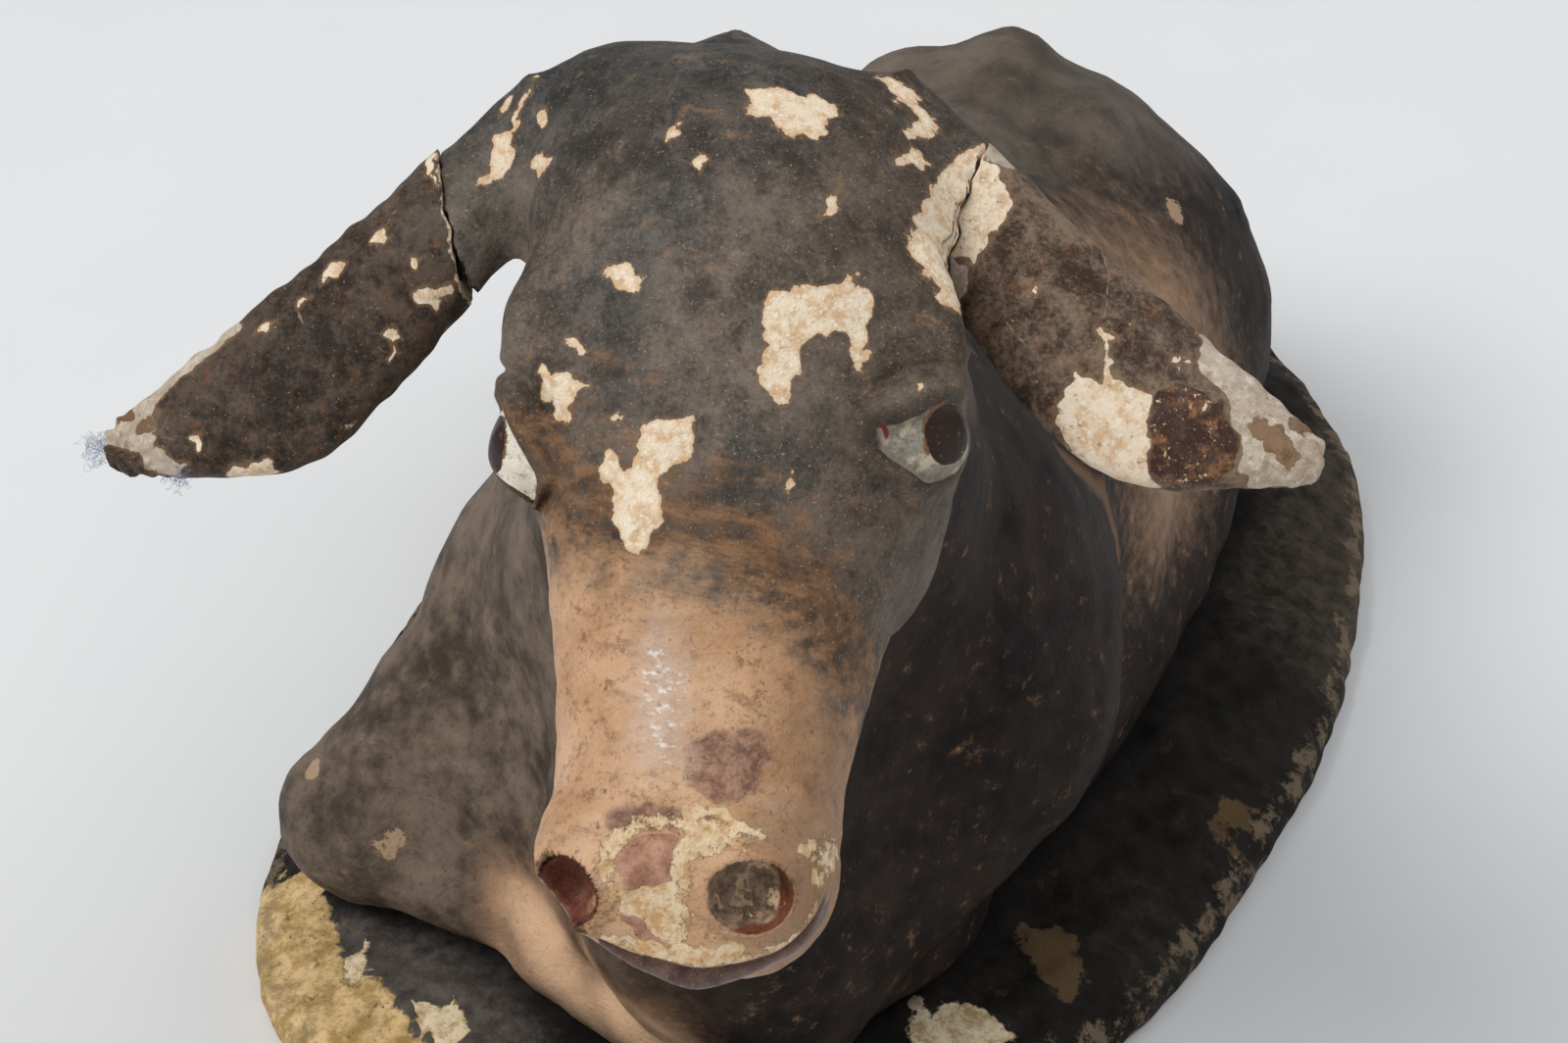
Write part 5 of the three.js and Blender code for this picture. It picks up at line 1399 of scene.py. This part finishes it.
def moundPaint():
    paint = Paint("moundPaint")
    ragged = paint.noise(7, 6.0, 0.75) * 9 + paint.cells(3) * 2.0
    broad, fine = paint.noise(24), paint.noise(3.4, 6.0, 0.7)
    colour = paint.between(broad * 2.2 + fine * 1.3, (0.004, 0.0035, 0.003), (0.02, 0.0165, 0.013))
    front = (paint.attribute("front") + fine * 0.8).rise(0.1, 1.0)
    colour = paint.mix(front, colour, paint.between(fine * 2.0, (0.05, 0.042, 0.037), (0.14, 0.12, 0.105)))
    pale = (paint.attribute("pale") + broad * 0.6 + fine * 0.6).rise(0.2, 1.0)
    colour = paint.mix(pale, colour, paint.between(fine * 2.0, (0.02, 0.016, 0.012), (0.09, 0.07, 0.05)))
    brown = paint.noise(7, 6.0, 0.75, shift=2.0).rise(0.06, 0.2)
    colour = paint.mix(brown * 0.4, colour, (0.085, 0.058, 0.034))
    green = (paint.attribute("green") + ragged).rise(-0.4, 0.6)
    greenTone = paint.mix(paint.noise(4, 6.0, 0.74).rise(-0.12, 0.12), (0.42, 0.28, 0.1), (0.8, 0.57, 0.29))
    greenTone = paint.mix(paint.noise(2.4, 6.0, 0.78, shift=5.0).rise(0.06, 0.16) * 0.9, greenTone,
                          (0.08, 0.06, 0.03))
    colour = paint.mix(green, colour, greenTone)
    ochre = (paint.attribute("ochre") + ragged).rise(-0.3, 0.5)
    colour = paint.mix(ochre * 0.6, colour, (0.17, 0.105, 0.045))
    rim = (paint.attribute("rim") * 0.45 + paint.noise(6, 6.0, 0.78, shift=7.0) * 1.8 - 0.36).rise(0, 0.2)
    colour = paint.mix(rim * 0.6, colour, (0.26, 0.19, 0.12))
    cream = (paint.attribute("cream") + ragged * 0.9).rise(-0.3, 0.3)
    chips = paint.noise(4.5, 6.0, 0.7, shift=11.0).rise(0.27, 0.29)
    losses = cream.top(chips)
    creamTone = paint.mix(paint.noise(2.4, 6.0, 0.72).rise(-0.08, 0.12), (0.84, 0.7, 0.48), (0.5, 0.34, 0.17))
    colour = paint.mix(losses, colour, creamTone)
    dust = (paint.noise(5, 6.0, 0.78, shift=9.0) + paint.noise(30, 2.0, shift=1.0)).rise(0.05, 0.4)
    colour = paint.mix(dust * 0.14, colour, (0.18, 0.155, 0.125))
    # Painted shadow: the mound darkened to near black within about 7 mm of the ox.
    oxShadowOnMound = 1 - (paint.attribute("under") + fine * 3.0).rise(0.0, 7.0)
    colour = paint.mix(oxShadowOnMound * 0.85, colour, (0.006, 0.005, 0.005))
    height = losses * -0.35 + green * 0.1 + fine * 0.5 + paint.noise(1.3, 6.0, 0.72) * 0.4
    return paint.finish(colour, fine * 0.25 + 0.7, height, 0.0)


moundPoints, moundFaces = moundSurface()
onMound = moundAttributes(moundPoints)
pieceFrom("mound", moundPoints, moundFaces, onMound, moundPaint(), "mound_base")
print("stage: mound built")


# The stage: a pale floor, soft light from above and the viewer's left, and the camera.
stageValues = {
    "floor": (0.81, 0.82, 0.825),
    "sky": 0.44,
    "azimuth": 18,
    "elevation": 35,
    "target": (0.03874, -0.18719, 0.170),
    "distance": 0.555,
    "lens": 100,
    "sensor": 36,
}


def floorPaint():
    paint = Paint("floorPaint")
    colour = paint.mix(paint.noise(60, 2.0).rise(-0.3, 0.3), stageValues["floor"], (0.79, 0.8, 0.81))
    return paint.finish(colour, 0.7, paint.noise(1.5) * 0.02)


floorMesh = bpy.data.meshes.new("floor")
floorMesh.from_pydata([(-8, -8, 0), (8, -8, 0), (8, 8, 0), (-8, 8, 0)], [], [(0, 1, 2, 3)])
floorMesh.materials.append(floorPaint())
floor = bpy.data.objects.new("floor", floorMesh)
bpy.context.scene.collection.objects.link(floor)
floor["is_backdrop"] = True

azimuth, elevation = np.radians(stageValues["azimuth"]), np.radians(stageValues["elevation"])
back = np.array([np.sin(azimuth) * np.cos(elevation), -np.cos(azimuth) * np.cos(elevation),
                 np.sin(elevation)])
right = np.array([np.cos(azimuth), np.sin(azimuth), 0.0])
up = np.cross(back, right)
target = np.array(stageValues["target"])


def facing(place, backward, across, above):
    rows = np.eye(4)
    rows[:3, 0], rows[:3, 1], rows[:3, 2], rows[:3, 3] = across, above, backward, place
    return Matrix(rows.tolist())


def areaLight(name, place, aim, size, power, colour):
    data = bpy.data.lights.new(name, "AREA")
    data.shape, data.size, data.energy, data.color = "DISK", size, power, colour
    backward = (place - aim) / np.linalg.norm(place - aim)
    across = np.cross([0.0, 0.0, 1.0], backward)
    across /= np.linalg.norm(across)
    light = bpy.data.objects.new(name, data)
    light.matrix_world = facing(place, backward, across, np.cross(backward, across))
    bpy.context.scene.collection.objects.link(light)


# Each light's place in metres from the target: to the camera's right, level towards the camera, and up.
lights = {
    "keyLight": {"place": (-1.6, 0.8, 2.1), "size": 1.5, "power": 48.0, "colour": (1.0, 0.985, 0.965)},
    "fillLight": {"place": (1.5, -0.2, 1.5), "size": 1.6, "power": 13.0, "colour": (0.97, 0.985, 1.0)},
}
level = np.array([back[0], back[1], 0]) / np.hypot(back[0], back[1])
for name, light in lights.items():
    place = target + np.array(light["place"]) @ [right, level, [0, 0, 1]]
    areaLight(name, place, target, light["size"], light["power"], light["colour"])
world = bpy.data.worlds.new("room")
world.use_nodes = True
background = world.node_tree.nodes["Background"]
background.inputs["Color"].default_value = (0.96, 0.975, 1.0, 1)
background.inputs["Strength"].default_value = stageValues["sky"]
bpy.context.scene.world = world

cameraData = bpy.data.cameras.new("camera")
cameraData.lens, cameraData.sensor_width = stageValues["lens"], stageValues["sensor"]
cameraData.clip_start, cameraData.clip_end = 0.02, 40
camera = bpy.data.objects.new("camera", cameraData)
camera.matrix_world = facing(target + back * stageValues["distance"], back, right, up)
bpy.context.scene.collection.objects.link(camera)
bpy.context.scene.camera = camera
bpy.context.scene.view_settings.view_transform = "Standard"

sizes["dressed"] = [list(corner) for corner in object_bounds()]
print("stage: scene ready")
